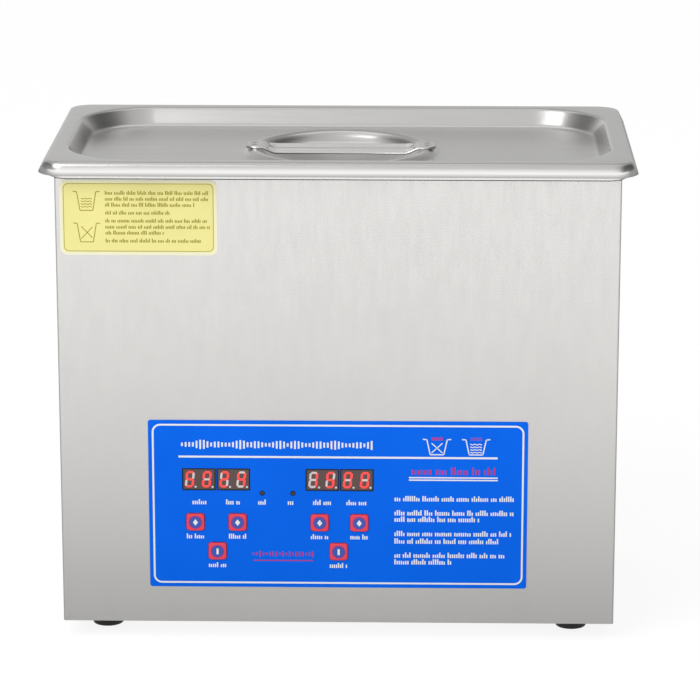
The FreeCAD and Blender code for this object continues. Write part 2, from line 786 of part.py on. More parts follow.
def valve_body():
    """Inner tail, thread with its wall nut, flange and ball housing in line along y."""
    inlet = rod((drain_x, valve_inlet, valve_z), Y_AXIS, drain_tube, inner_y - valve_inlet)
    thread = rod((drain_x, inner_y - valve_thread_inside, valve_z), Y_AXIS, valve_thread,
                 valve_thread_inside + case_sheet + 1)
    wall_nut = rod((drain_x, inner_y - valve_nut_height, valve_z), Y_AXIS,
                   valve_thread + valve_nut, valve_nut_height)
    flange = rod((drain_x, case_y, valve_z), Y_AXIS, valve_radius + valve_flange,
                 valve_flange_depth)
    body_start = case_y + valve_flange_depth
    housing = rod((drain_x, body_start, valve_z), Y_AXIS, valve_radius,
                  valve_body_end - body_start)
    neck_height = lever_level - stem_clearance * 6 - valve_z
    neck = rod((drain_x, ball_y, valve_z), Z_AXIS, stem_radius + valve_neck, neck_height)
    body = joined([inlet, thread, wall_nut, flange, housing, neck])
    bore = rod((drain_x, valve_inlet - 1, valve_z), Y_AXIS, drain_bore,
               valve_body_end - valve_inlet + 2)
    seat = Part.makeSphere(ball_radius + ball_clearance, V(drain_x, ball_y, valve_z))
    stem_hole = rod((drain_x, ball_y, valve_z), Z_AXIS, stem_radius + stem_clearance,
                    neck_height + 1)
    return body.cut([bore, seat, stem_hole])


def hose_tail():
    """Outlet tail screwed into the valve: a collar, a straight barb and a tapered tip."""
    collar = rod((drain_x, valve_body_end, valve_z), Y_AXIS, tail_collar, tail_collar_depth)
    barb = rod((drain_x, valve_body_end, valve_z), Y_AXIS, barb_radius, barb_length - barb_tip)
    tip = cone((drain_x, valve_body_end + barb_length - barb_tip, valve_z), Y_AXIS,
               barb_radius, barb_radius - barb_taper, barb_tip)
    bore = rod((drain_x, valve_body_end - 1, valve_z), Y_AXIS, drain_bore, barb_length + 2)
    return joined([collar, barb, tip]).cut(bore)


def valve_ball():
    """Bored ball, shown closed: its bore lies across the pipe."""
    ball = Part.makeSphere(ball_radius, V(drain_x, ball_y, valve_z))
    bore = rod((drain_x - 2 * ball_radius, ball_y, valve_z), X_AXIS, drain_bore, 4 * ball_radius)
    slot = block(drain_x - ball_slot_width / 2, drain_x + ball_slot_width / 2,
                 ball_y - ball_slot_length / 2, ball_y + ball_slot_length / 2,
                 valve_z + ball_radius - ball_slot, valve_z + ball_radius + 1)
    return ball.cut([bore, slot])


def valve_lever():
    """Stem with a tongue in the ball, and a cranked lever fixed by a nut."""
    tongue_half = ball_slot_width / 2 - 2 * stem_clearance
    tongue_foot = valve_z + ball_radius - ball_slot + 2 * stem_clearance
    stem_foot = valve_z + ball_radius + 0.5
    nut_seat = lever_level + lever_sheet
    tongue = block(drain_x - tongue_half, drain_x + tongue_half, ball_y - ball_slot_length / 4,
                   ball_y + ball_slot_length / 4, tongue_foot, stem_foot + 1)
    stem = rod((drain_x, ball_y, stem_foot), Z_AXIS, stem_radius,
               nut_seat + lever_nut_height + 1 - stem_foot)
    nut = rod((drain_x, ball_y, nut_seat), Z_AXIS, lever_nut, lever_nut_height)
    hub = rod((drain_x, ball_y, lever_level), Z_AXIS, lever_width * 0.6, lever_sheet)
    crank_x = drain_x + lever_length * 0.28
    upper = lever_level + lever_rise
    mitre = lever_sheet * 0.4
    outline = [(drain_x, lever_level), (crank_x, lever_level), (crank_x + lever_rise, upper),
               (drain_x + lever_length, upper), (drain_x + lever_length, upper + lever_sheet),
               (crank_x + lever_rise - mitre, upper + lever_sheet),
               (crank_x - mitre, nut_seat), (drain_x, nut_seat)]
    arm = profile_prism(outline, ball_y - lever_width / 2, ball_y + lever_width / 2, "xz")
    return joined([tongue, stem, nut, hub, arm])


# ---------------------------------------------------------------- lid
def lid_form(offset, z_shift):
    """Solid under the lid's surface: outer lip, flat band, well; moved in by offset."""
    lip = rounded_taper(lid_x - offset, lid_y - offset, lid_corner - offset, lip_bottom,
                        flat_x - offset, flat_y - offset,
                        lid_corner - lid_lip_slope - offset, lid_top - z_shift)
    return lip


def lid_well(offset, z_bottom, z_top):
    def half(z):
        lean = lid_well_slope * (lid_top - z) / lid_well_depth
        return (well_x + offset - lean, well_y + offset - lean, lid_well_corner + offset - lean)
    return rounded_taper(*half(z_bottom), z_bottom, *half(z_top), z_top)


def lid_profile(lift):
    """Half section of the floor's bead and dish, from the axis outwards, raised by lift."""
    sphere = (bead_inner ** 2 + dish_depth ** 2) / (2 * dish_depth)
    level = lid_floor + lift
    middle = bead_inner / 2
    arc_mid = level - dish_depth + sphere - math.sqrt(sphere ** 2 - middle ** 2)
    bead_mid = (bead_inner + bead_outer) / 2
    dish = Part.Arc(V(0, 0, level - dish_depth), V(middle, 0, arc_mid),
                    V(bead_inner, 0, level)).toShape()
    bead = Part.Arc(V(bead_inner, 0, level), V(bead_mid, 0, level + bead_height),
                    V(bead_outer, 0, level)).toShape()
    return [dish, bead], level


def lid_floor_ring():
    """Turned centre of the lid: dish and bead as one sheet."""
    top_edges, top = lid_profile(0)
    low_edges, low = lid_profile(-lid_sheet)
    land = bead_outer + 4
    top_edges.append(Part.LineSegment(V(bead_outer, 0, top), V(land, 0, top)).toShape())
    rim_edge = Part.LineSegment(V(land, 0, top), V(land, 0, low)).toShape()
    low_edges.append(Part.LineSegment(V(bead_outer, 0, low), V(land, 0, low)).toShape())
    axis_edge = Part.LineSegment(V(0, 0, top - dish_depth), V(0, 0, low - dish_depth)).toShape()
    outline = Part.Wire(Part.__sortEdges__(top_edges + [rim_edge] + low_edges + [axis_edge]))
    return Part.Face(outline).revolve(V(0, 0, 0), Z_AXIS, 360), land


def lid_pan():
    """Pressed lid: sloped lip, flat band, well with a flat floor, bead and hand dish."""
    skin = lid_form(0, 0).cut(lid_form(lid_sheet, lid_sheet))
    skin = skin.cut(lid_well(0, lid_floor, lid_top + 0.001))
    wall = lid_well(lid_sheet, lid_floor - lid_sheet, lid_top)
    wall = wall.cut(lid_well(0, lid_floor, lid_top + 1))
    centre, land = lid_floor_ring()
    hole = rod((0, 0, lid_floor - lid_sheet - 1), Z_AXIS, land, 3)
    return skin.fuse(wall).cut(hole).fuse(centre)


def lid_handle():
    """Flat strap over the dish with two ribs and a welded foot at each end."""
    top = lid_floor - strap_drop
    foot_top = lid_floor + bead_height + strap_sheet
    ramp_in = bead_inner - 6.0
    ramp_out = bead_inner + 2.0
    end = bead_outer - 1.0
    upper = [(-end, foot_top), (-ramp_out, foot_top), (-ramp_in, top), (ramp_in, top),
             (ramp_out, foot_top), (end, foot_top)]
    lower = [(x, z - strap_sheet) for x, z in reversed(upper)]
    strap = profile_prism(upper + lower, -strap_width / 2, strap_width / 2, "xz")
    ribs = []
    for side in (-1, 1):
        y = side * (strap_width / 2 - strap_rib)
        ribs.append(rod((-ramp_in, y, top), X_AXIS, strap_rib, 2 * ramp_in))
    return joined([strap] + ribs)


# ---------------------------------------------------------------- basket
basket_x = tank_length / 2 - basket_gap
basket_y = tank_width / 2 - basket_gap
basket_rim = rim_top - basket_top
basket_floor = basket_rim - basket_height


def basket_form(offset, z0, z1):
    def half(z):
        lean = basket_taper * (basket_rim - z) / basket_height
        return (basket_x + offset - lean, basket_y + offset - lean,
                basket_corner + offset - lean)
    return rounded_taper(*half(z0), z0, *half(z1), z1)


def basket_mesh():
    """The woven tub as one thin wall with a floor, open at the top."""
    return basket_form(0, basket_floor, basket_rim).cut(
        basket_form(-basket_skin, basket_floor + basket_skin, basket_rim + 1))


def loop_wire(half_x, half_y, radius, z, thickness):
    path = rounded_wire(half_x, half_y, radius, z)
    return wire_rod(path, thickness / 2)


def basket_frame():
    """Round rim wire, and two bearer wires under the floor that end in feet."""
    reach = basket_wire / 2
    rim = loop_wire(basket_x + reach, basket_y + reach, basket_corner + reach, basket_rim,
                    basket_wire)
    bearers = []
    half_y = basket_y - basket_taper - basket_corner * 0.4
    z = basket_floor - reach
    for sx in (-1, 1):
        x = sx * basket_x * 0.6
        bearers.append(rod((x, -half_y, z), Y_AXIS, reach, 2 * half_y))
        for sy in (-1, 1):
            bearers.append(rod((x, sy * half_y * 0.9, z - basket_foot), Z_AXIS, reach * 1.3,
                               basket_foot))
    return joined([rim] + bearers)


def basket_hook(side):
    """Wire loop from the rim wire up the tank wall and out over the tank rim."""
    r = hook_wire / 2
    start_x = basket_x + basket_wire + r
    wall_x = tank_length / 2 - r - 0.8
    lie_z = rim_top + hook_gap + r
    end_x = tank_length / 2 + hook_land
    bend = r + 0.6
    points = [(start_x, -hook_spread, basket_rim - 6.0),
              (start_x, -hook_spread, basket_rim + 6.0),
              (wall_x, -hook_spread, basket_rim + 18.0),
              (wall_x, -hook_spread, lie_z),
              (end_x, -hook_spread, lie_z),
              (end_x, hook_spread, lie_z),
              (wall_x, hook_spread, lie_z),
              (wall_x, hook_spread, basket_rim + 18.0),
              (start_x, hook_spread, basket_rim + 6.0),
              (start_x, hook_spread, basket_rim - 6.0)]
    radii = [6.0, 6.0, bend, 3.0, 3.0, bend, 6.0, 6.0]
    path = rounded_path([(side * x, y, z) for x, y, z in points], radii)
    return wire_rod(path, r)


def basket_hooks():
    return Part.makeCompound([basket_hook(side) for side in (-1, 1)])


# ---------------------------------------------------------------- controls
ribbon_z = case_bottom + board_z[0] + ribbon_rise
standoff_places = [(x, case_bottom + z)
                   for x in (board_x[0] + standoff_inset, board_x[1] - standoff_inset)
                   for z in (board_z[0] + standoff_inset, board_z[1] - standoff_inset)]


def control_board():
    """Circuit board behind the windows, with a header and a small driver chip."""
    board = block(board_x[0], board_x[1], board_front, board_front + board_sheet,
                  case_bottom + board_z[0], case_bottom + board_z[1])
    back = board_front + board_sheet
    long, deep, tall = chip_size
    chip_x, chip_z = chip_place[0], case_bottom + board_z[0] + chip_place[1]
    chip = block(chip_x - long / 2, chip_x + long / 2, back, back + deep, chip_z - tall / 2,
                 chip_z + tall / 2)
    long, deep, tall = header_size
    header = block(ribbon_x - long / 2, ribbon_x + long / 2, back, back + deep,
                   ribbon_z - tall / 2, ribbon_z + tall / 2)
    holes = [rod((x, board_front - 1, z), Y_AXIS, screw_radius + screw_clearance,
                 board_sheet + 2) for x, z in standoff_places]
    return joined([board, chip, header]).cut(holes)


def board_standoffs():
    """Four spacers between the case front and the board, each with its screw."""
    spacers = []
    for x, z in standoff_places:
        spacer = rod((x, -inner_y, z), Y_AXIS, standoff_radius, board_setback)
        shank = rod((x, board_front, z), Y_AXIS, screw_radius, board_sheet)
        head = rod((x, board_front + board_sheet, z), Y_AXIS, screw_head, screw_head_height)
        spacers.append(joined([spacer, shank, head]))
    return Part.makeCompound(spacers)


def display_module(x, z):
    """Two-digit block with pins into the board."""
    front = front_film + display_recess
    body = upright_plate(x, z, display_width, display_height, 0.3, front,
                         -case_y + display_back)
    pins = [rod((x + step * pin_pitch, -case_y + display_back, z + row * pin_row / 2), Y_AXIS,
                pin_radius, board_front - (-case_y + display_back))
            for step in (-2, -1, 0, 1, 2) for row in (-1, 1)]
    return joined([body] + pins)


def led_pair():
    """Two dome lamps with their legs."""
    lamps = []
    for x in led_x:
        z = case_bottom + led_z
        dome_y = front_film + led_radius * 0.6
        bulb = rod((x, dome_y, z), Y_AXIS, led_radius, led_body)
        dome = Part.makeSphere(led_radius, V(x, dome_y, z)).common(
            block(x - 3, x + 3, front_film, dome_y + 1, z - 3, z + 3))
        flange = rod((x, dome_y + led_body - 1, z), Y_AXIS, led_radius + 0.5, 1.0)
        legs = [rod((x + sx * led_leg_pitch / 2, dome_y + led_body, z), Y_AXIS, 0.3,
                    board_front - dome_y - led_body) for sx in (-1, 1)]
        lamps.append(joined([bulb, dome, flange] + legs))
    return Part.makeCompound(lamps)


def tact_switches():
    """Six small press switches on the board, each with a hole for its key's stem."""
    switches = []
    for x, rise in key_places.values():
        z = case_bottom + rise
        half = switch_size / 2
        body = block(x - half, x + half, board_front - switch_height, board_front,
                     z - half, z + half)
        hole = rod((x, board_front - switch_height - 1, z), Y_AXIS,
                   key_stem_radius + key_clearance, switch_height)
        switches.append(body.cut(hole))
    return Part.makeCompound(switches)


def key(x, rise):
    """Domed key with a retaining edge behind the sheet and a stem into its switch."""
    z = case_bottom + rise
    front = front_film - key_proud
    back = -inner_y + key_rest_gap
    cap = upright_plate(x, z, key_width, key_height, key_corner, front, back)
    front_edges = [edge for edge in cap.Edges if abs(edge.CenterOfMass.y - front) < 1e-6]
    cap = cap.makeChamfer(key_chamfer, front_edges)
    stem_start = back + key_flange_sheet
    flange = upright_plate(x, z, key_width + 2 * key_flange, key_height + 2 * key_flange,
                           key_corner, back, stem_start)
    stem_end = board_front - 1.0 - key_bottom_gap - key_travel
    stem = rod((x, stem_start, z), Y_AXIS, key_stem_radius, stem_end - stem_start)
    return joined([cap, flange, stem])


# ---------------------------------------------------------------- power module
switch_z = module_centre_z + rocker_rise
fuse_z = module_centre_z + fuse_rise
socket_z = module_centre_z - socket_drop
module_face = case_y + module_flange
rocker_y = module_face - rocker_pivot_depth


def socket_outline(clearance, y0, y1):
    """Six-sided inlet shape: a rectangle with its two upper corners cut."""
    half = socket_width / 2 + clearance
    tall = socket_height / 2 + clearance
    cut = 4.0
    points = [(module_x - half, socket_z - tall), (module_x + half, socket_z - tall),
              (module_x + half, socket_z + tall - cut), (module_x + half - cut, socket_z + tall),
              (module_x - half + cut, socket_z + tall), (module_x - half, socket_z + tall - cut)]
    return profile_prism(points, y0, y1, "xz")


def power_module():
    """Moulded housing: inlet socket below, fuse drawer in the middle, switch bay above."""
    body = module_block(0, case_y - module_depth, case_y)
    flange = upright_plate(module_x, module_centre_z, module_width + 2 * module_lip,
                           module_height + 2 * module_lip, 2.0, case_y, module_face)
    ears = upright_plate(module_x, module_centre_z, 2 * ear_reach, 11.0, 4.5,
                         case_y, module_face)
    housing = joined([body, flange, ears])
    socket = socket_outline(0, module_face - socket_depth, module_face + 1)
    fuse = block(module_x - fuse_width / 2, module_x + fuse_width / 2,
                 module_face - fuse_depth, module_face + 1,
                 fuse_z - fuse_height / 2, fuse_z + fuse_height / 2)
    half = rocker_width / 2 + rocker_clearance
    bay = rod((module_x - half, rocker_y, switch_z), X_AXIS,
              rocker_radius + rocker_clearance, 2 * half)
    mouth = block(module_x - half, module_x + half, rocker_y, module_face + 1,
                  switch_z - rocker_radius - rocker_clearance,
                  switch_z + rocker_radius + rocker_clearance)
    screw_bores = screw_holes(module_screws, Y_AXIS, module_flange + 1)
    axle_bore = rod((module_x - half - 1.5, rocker_y, switch_z), X_AXIS, 1.0 + 0.05,
                    2 * half + 3)
    return housing.cut([socket, fuse, bay, mouth, axle_bore] + screw_bores)


def inlet_pins():
    """Two line blades and an earth blade, with tabs behind the housing."""
    back = module_face - socket_depth
    blades = []
    for x, z in ((-7.0, -1.5), (7.0, -1.5), (0.0, 2.5)):
        blades.append(block(module_x + x - 1.0, module_x + x + 1.0, back, back + pin_length,
                            socket_z + z - 2.0, socket_z + z + 2.0))
    return Part.makeCompound(blades)


def solder_tabs():
    return [block(module_x + x - 3.2, module_x + x + 3.2, case_y - module_depth - 8,
                  case_y - module_depth, z - 0.4, z + 0.4)
            for x, z in ((-7.0, socket_z), (7.0, socket_z), (0.0, socket_z + 4.0),
                         (-6.0, switch_z), (6.0, switch_z))]


def fuse_drawer():
    """Small tray with a finger lip, holding one glass fuse."""
    half = fuse_width / 2 - fuse_clearance
    tall = fuse_height / 2 - fuse_clearance
    face = upright_plate(module_x, fuse_z, 2 * half, 2 * tall, 0.8, module_face - 2.5,
                         module_face + 0.6)
    tray = block(module_x - half, module_x + half, module_face - fuse_depth + 1.0,
                 module_face - 2.5, fuse_z - tall, fuse_z + tall)
    pocket = block(module_x - half + 1.2, module_x + half - 1.2,
                   module_face - fuse_depth + 2.2, module_face - 3.7,
                   fuse_z - tall + 1.0, fuse_z + tall + 1)
    grip = block(module_x - 3.0, module_x + 3.0, module_face - 1.0, module_face + 1,
                 fuse_z + tall - 1.4, fuse_z + tall + 1)
    fuse_y = module_face - fuse_depth / 2
    glass = rod((module_x - half + 0.8, fuse_y, fuse_z - tall + 2.6), X_AXIS, 2.0,
                2 * half - 1.6)
    return joined([face, tray.cut(pocket), glass]).cut(grip)


def power_rocker():
    """Two-position rocker on a cross axle, built level and tipped to off."""
    half = rocker_width / 2
    barrel = rod((module_x - half, rocker_y, switch_z), X_AXIS, rocker_radius, rocker_width)
    top = rocker_radius * math.cos(math.radians(rocker_tilt * 2.2))
    reach = rocker_radius * math.sin(math.radians(rocker_tilt * 2.2))
    outline = [(rocker_y - 2 * rocker_radius, switch_z - rocker_radius),
               (rocker_y + reach + 1.2, switch_z - rocker_radius),
               (rocker_y + reach * 0.35, switch_z),
               (rocker_y + reach + 1.2, switch_z + rocker_radius),
               (rocker_y - 2 * rocker_radius, switch_z + rocker_radius)]
    keep = profile_prism(outline, module_x - half, module_x + half, "yz")
    axle = rod((module_x - half - 1.2, rocker_y, switch_z), X_AXIS, 1.0, rocker_width + 2.4)
    rocker = joined([barrel.common(keep), axle])
    rocker.rotate(V(module_x, rocker_y, switch_z), X_AXIS, -rocker_tilt)
    return rocker


# ---------------------------------------------------------------- generator bay
generator_level = case_bottom + case_sheet + generator_rise
generator_top = generator_level + generator_sheet


def generator_board():
    """Drive board on six spacers that stand on the base plate."""
    board = block(-generator_half_x, generator_half_x, generator_y[0], generator_y[1],
                  generator_level, generator_top)
    reach = generator_half_x - generator_inset
    spacers = [rod((x, y, case_bottom + case_sheet), Z_AXIS, standoff_radius, generator_rise)
               for x in (-reach, 0, reach)
               for y in (generator_y[0] + generator_inset, generator_y[1] - generator_inset)]
    return joined([board] + spacers)


def board_place(place):
    """Place on the drive board; x moves with the tank length."""
    return place[0] * tank_length / bench_length, place[1]


def on_board(size, place):
    """Block standing on the drive board."""
    long, wide, tall = size
    x, y = board_place(place)
    return block(x - long / 2, x + long / 2, y - wide / 2, y + wide / 2, generator_top,
                 generator_top + tall)


def generator_parts():
    """Transformer, choke, reservoir capacitors and relay on the drive board."""
    x, y = board_place(core_place)
    coil_radius, coil_length = winding
    coil = rod((x, y - coil_length / 2, generator_top + core_size[2] / 2), Y_AXIS, coil_radius,
               coil_length)
    transformer = joined([on_board(core_size, core_place), coil])
    can_radius, can_height = can_size
    cans = [rod((*board_place(place), generator_top), Z_AXIS, can_radius, can_height)
            for place in can_places]
    ring, bundle = choke
    across = 2 * (ring + bundle + 1)
    toroid = Part.makeTorus(ring, bundle, V(*board_place(choke_place), generator_top + bundle),
                            Z_AXIS)
    toroid = toroid.common(on_board((across, across, choke_height), choke_place))
    return Part.makeCompound([transformer, on_board(relay_size, relay_place), toroid] + cans)


def heat_sink():
    """Extruded comb that cools the power transistors in the fan's air."""
    x0 = fan_x - sink_behind_fan
    x1 = x0 + sink_base
    y0, y1 = sink_y
    base = block(x0, x1, y0, y1, generator_top, generator_top + sink_height)
    fins = [block(x1, x0 + sink_depth, y0, y1, generator_top + 1 + row * sink_pitch,
                  generator_top + 1 + sink_fin + row * sink_pitch) for row in range(sink_fins)]
    return joined([base] + fins)


def ribbon_cable():
    """Flat cable from the control board down to the drive board."""
    y0 = board_front + board_sheet + header_size[1]
    y1 = generator_y[0] + ribbon_landing
    bend = min(ribbon_z - generator_top, y1 - y0) * 0.45
    middle = [(y0, ribbon_z), (y1, ribbon_z), (y1, generator_top)]
    path = rounded_path([(ribbon_x, y, z) for y, z in middle], [bend])
    half, thin = ribbon_width / 2, ribbon_sheet / 2
    corners = [V(ribbon_x + sx * half, y0, ribbon_z + sz * thin)
               for sx, sz in ((-1, -1), (1, -1), (1, 1), (-1, 1), (-1, -1))]
    section = Part.makePolygon(corners)
    return path.makePipeShell([section], True, False)


# ---------------------------------------------------------------- fan
def fan_frame():
    """Square duct with rounded corners, a hub plate and three struts on the inner side."""
    y0 = inner_y - fan_depth
    frame = upright_plate(fan_x, fan_centre_z, fan_size, fan_size, 5.0, y0, inner_y)
    bore = rod((fan_x, y0 - 1, fan_centre_z), Y_AXIS, fan_bore, fan_depth + 2)
    holes = screw_holes(fan_screws, Y_AXIS, fan_depth + 3)
    plate = rod((fan_x, y0, fan_centre_z), Y_AXIS, fan_hub + 0.5, fan_plate)
    struts = []
    for turn in (90, 210, 330):
        strut = block(0, fan_bore + 0.5, 0, fan_plate, -fan_strut / 2, fan_strut / 2)
        strut.rotate(V(0, 0, 0), Y_AXIS, turn)
        strut.translate(V(fan_x, y0, fan_centre_z))
        struts.append(strut)
    return joined([frame.cut([bore]), plate] + struts).cut(holes)


def fan_rotor():
    """Hub cup with pitched blades."""
    y0 = inner_y - fan_depth + fan_plate + 0.6
    y1 = inner_y - fan_tip_gap
    hub = rod((fan_x, y0, fan_centre_z), Y_AXIS, fan_hub, y1 - y0)
    tip = fan_bore - fan_tip_gap
    span = rod((fan_x, y0, fan_centre_z), Y_AXIS, tip, y1 - y0)
    blades = []
    for i in range(fan_blades):
        blade = block(fan_hub - 1.5, tip + 2, -fan_blade_sheet / 2, fan_blade_sheet / 2,
                      -8.0, 8.0)
        blade.rotate(V(0, 0, 0), X_AXIS, fan_blade_pitch)
        blade.rotate(V(0, 0, 0), Y_AXIS, 360.0 * i / fan_blades)
        blade.translate(V(fan_x, (y0 + y1) / 2, fan_centre_z))
        blades.append(blade.common(span))
    return joined([hub] + blades)


def fan_guard():
    """Round wire rings on two flat bars, with four feet under the fan screws."""
    centre = V(fan_x, case_y + guard_foot, fan_centre_z)
    shapes = []
    for ring in range(guard_rings):
        radius = fan_bore + 1.0 - ring * guard_pitch
        shapes.append(Part.makeTorus(radius, guard_wire, centre, Y_AXIS))
    ear = fan_screw_pitch / 2
    for turn in (45, 135):
        reach = ear * math.sqrt(2) - 3.0
        bar = block(-reach, reach, -1.5 * guard_wire, 0, -guard_wire, guard_wire)
        bar.rotate(V(0, 0, 0), Y_AXIS, turn)
        bar.translate(centre)
        shapes.append(bar)
    for x, _, z in fan_screws:
        eye = rod((x, case_y, z), Y_AXIS, 4.0, guard_foot)
        shapes.append(eye.cut(rod((x, case_y - 1, z), Y_AXIS, screw_radius + screw_clearance, 5)))
    return joined(shapes)


# ---------------------------------------------------------------- the whole cleaner
save("case_wrap", case_wrap())
save("rear_panel", rear_panel())
save("base_plate", base_plate())
for number, (x, y) in enumerate(foot_places, 1):
    save("foot_%d" % number, foot(x, y))
save("screws", all_screws())
save("panel_overlay", panel_overlay())
save("notice_label", notice_label())

save("tank", drawn_tank())
save("tank_gasket", tank_gasket())
for number, x in enumerate(transducer_x, 1):
    save("transducer_horn_%d" % number, horn(x))
    save("back_mass_%d" % number, back_mass(x))
save("piezo_stacks", Part.makeCompound([part for x in transducer_x
                                       for part in piezo_stack(x).Solids]))
save("transducer_bolts", transducer_bolts())
save("heater_pads", heater_pads())
save("temperature_probe", temperature_probe())
save("thermal_cutout", thermal_cutout())
save("drain_spigot", drain_spigot())
save("drain_hose", drain_hose())
save("valve_body", valve_body())
save("hose_tail", hose_tail())
save("valve_ball", valve_ball())
save("valve_lever", valve_lever())

save("lid_pan", lid_pan())
save("lid_handle", lid_handle())
save("basket_mesh", basket_mesh())
save("basket_frame", basket_frame())
save("basket_hooks", basket_hooks())

save("control_board", control_board())
save("board_standoffs", board_standoffs())
for name, x, z in display_centres():
    save(name, display_module(x, z))
save("led_pair", led_pair())
save("tact_switches", tact_switches())
for name, (x, rise) in key_places.items():
    save(name, key(x, rise))
save("ribbon_cable", ribbon_cable())

save("power_module", joined([power_module()] + solder_tabs()))
save("inlet_pins", inlet_pins())
save("fuse_drawer", fuse_drawer())
save("power_rocker", power_rocker())
save("generator_board", generator_board())
save("generator_parts", generator_parts())
save("heat_sink", heat_sink())
save("fan_frame", fan_frame())
save("fan_rotor", fan_rotor())
save("fan_guard", fan_guard())
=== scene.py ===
import bpy
import math
import numpy as np
from mathutils import Euler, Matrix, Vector


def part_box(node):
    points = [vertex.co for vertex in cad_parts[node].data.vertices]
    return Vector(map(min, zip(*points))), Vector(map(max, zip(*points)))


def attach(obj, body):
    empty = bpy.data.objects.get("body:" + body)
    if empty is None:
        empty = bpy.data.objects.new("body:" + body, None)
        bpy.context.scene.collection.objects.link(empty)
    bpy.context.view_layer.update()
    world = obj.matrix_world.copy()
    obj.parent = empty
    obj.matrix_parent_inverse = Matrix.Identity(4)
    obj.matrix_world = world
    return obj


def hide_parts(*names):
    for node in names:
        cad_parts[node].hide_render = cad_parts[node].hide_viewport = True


# Benchtop ultrasonic cleaner: pressed steel lid, embossed case, printed control panel.
# Everything is in metres; "mm" turns the small sizes below into metres.
mm = 0.001
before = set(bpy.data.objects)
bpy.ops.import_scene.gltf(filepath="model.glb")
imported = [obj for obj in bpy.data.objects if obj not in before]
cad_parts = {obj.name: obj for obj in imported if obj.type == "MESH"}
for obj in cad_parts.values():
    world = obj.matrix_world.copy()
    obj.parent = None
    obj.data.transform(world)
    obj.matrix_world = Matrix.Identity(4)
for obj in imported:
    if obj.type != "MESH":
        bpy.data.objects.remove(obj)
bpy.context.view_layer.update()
scene = bpy.context.scene

lidLow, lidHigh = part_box("lid_pan")
panelLow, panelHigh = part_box("panel_overlay")
labelLow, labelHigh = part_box("notice_label")

# studio
studio = {
    "cameraPlace": (0.0448, -1.9010, 0.6427),
    "pitch": 14.75, "yaw": -1.21, "lens": 175.6,
    "front": 1.48, "back": 0.80,             # brightness of the room before and behind the object
    "highShare": 0.60,                       # what is left of it towards the ceiling
    "sideShade": 0.22,                       # and at the far left and right
    "leftRight": 0.30,                       # how much the left is brighter than the middle
    "depthRange": (-0.35, 0.75), "sideRange": (0.45, 0.85), "highRange": (0.10, 0.60),
    "paperSpan": 6.0, "paperTone": 0.92, "paperGlow": 1.15, "glowShare": 0.75,
    "paperFar": 1.35, "paperNear": 0.42,     # light given back by the paper, away from the object
    "paperRange": (-0.95, 0.0),
    "lightAim": (0, 0, 0.2),
    "keyPlace": (-1.1, -1.4, 1.7), "keySize": (1.3, 1.3), "keyPower": 15.0,
    "topPlace": (0.0, 0.5, 1.8), "topSize": (1.6, 0.8), "topPower": 1.5,
}


def makeCamera():
    data = bpy.data.cameras.new("camera")
    data.lens = studio["lens"]
    data.sensor_width = 36.0
    data.clip_end = 50.0
    camera = bpy.data.objects.new("camera", data)
    camera.location = studio["cameraPlace"]
    camera.rotation_euler = Euler((math.radians(90 - studio["pitch"]), 0,
                                   math.radians(-studio["yaw"])))
    scene.collection.objects.link(camera)
    scene.camera = camera


def areaLight(name, place, target, size, power):
    data = bpy.data.lights.new(name, "AREA")
    data.shape = "RECTANGLE"
    data.size, data.size_y = size
    data.energy = power
    light = bpy.data.objects.new(name, data)
    light.location = place
    aim = Vector(target) - Vector(place)
    light.rotation_euler = aim.to_track_quat("-Z", "Y").to_euler()
    scene.collection.objects.link(light)


def mathNode(tree, operation, *values):
    node = tree.nodes.new("ShaderNodeMath")
    node.operation = operation
    for index, value in enumerate(values):
        if isinstance(value, (int, float)):
            node.inputs[index].default_value = value
        else:
            tree.links.new(value, node.inputs[index])
    return node.outputs[0]


def rangeNode(tree, value, low, high, toLow, toHigh, kind="SMOOTHSTEP"):
    node = tree.nodes.new("ShaderNodeMapRange")
    node.interpolation_type = kind
    for label, number in (("From Min", low), ("From Max", high),
                          ("To Min", toLow), ("To Max", toHigh)):
        node.inputs[label].default_value = number
    tree.links.new(value, node.inputs["Value"])
    return node.outputs[0]


def placeAxes(tree, output):
    where = tree.nodes.new("ShaderNodeTexCoord")
    split = tree.nodes.new("ShaderNodeSeparateXYZ")
    tree.links.new(where.outputs[output], split.inputs[0])
    return split.outputs


def cameraMix(tree, lighting, seen):
    # one shader for the light that the surface gives, another for looking straight at it
    path = tree.nodes.new("ShaderNodeLightPath")
    mixer = tree.nodes.new("ShaderNodeMixShader")
    for index, source in enumerate((path.outputs["Is Camera Ray"], lighting, seen)):
        tree.links.new(source, mixer.inputs[index])
    return mixer.outputs[0]


def makeWorld():
    # a bright tent in front, a greyer wall behind and dark sides; plain white to the camera
    world = bpy.data.worlds.new("studio")
    scene.world = world
    world.use_nodes = True
    tree = world.node_tree
    tree.nodes.clear()
    out = tree.nodes.new("ShaderNodeOutputWorld")
    plain = tree.nodes.new("ShaderNodeBackground")
    plain.inputs["Color"].default_value = (1, 1, 1, 1)
    soft = tree.nodes.new("ShaderNodeBackground")
    x, y, z = placeAxes(tree, "Generated")
    depth = rangeNode(tree, y, *studio["depthRange"], studio["front"], studio["back"])
    sides = rangeNode(tree, mathNode(tree, "ABSOLUTE", x), *studio["sideRange"], 1.0,
                      studio["sideShade"])
    lean = rangeNode(tree, x, -1.0, 1.0, 1 + studio["leftRight"], 1 - studio["leftRight"])
    high = rangeNode(tree, z, *studio["highRange"], 1.0, studio["highShare"])
    power = depth
    for factor in (sides, lean, high):
        power = mathNode(tree, "MULTIPLY", power, factor)
    tree.links.new(power, soft.inputs["Strength"])
    tree.links.new(cameraMix(tree, soft.outputs[0], plain.outputs[0]), out.inputs["Surface"])


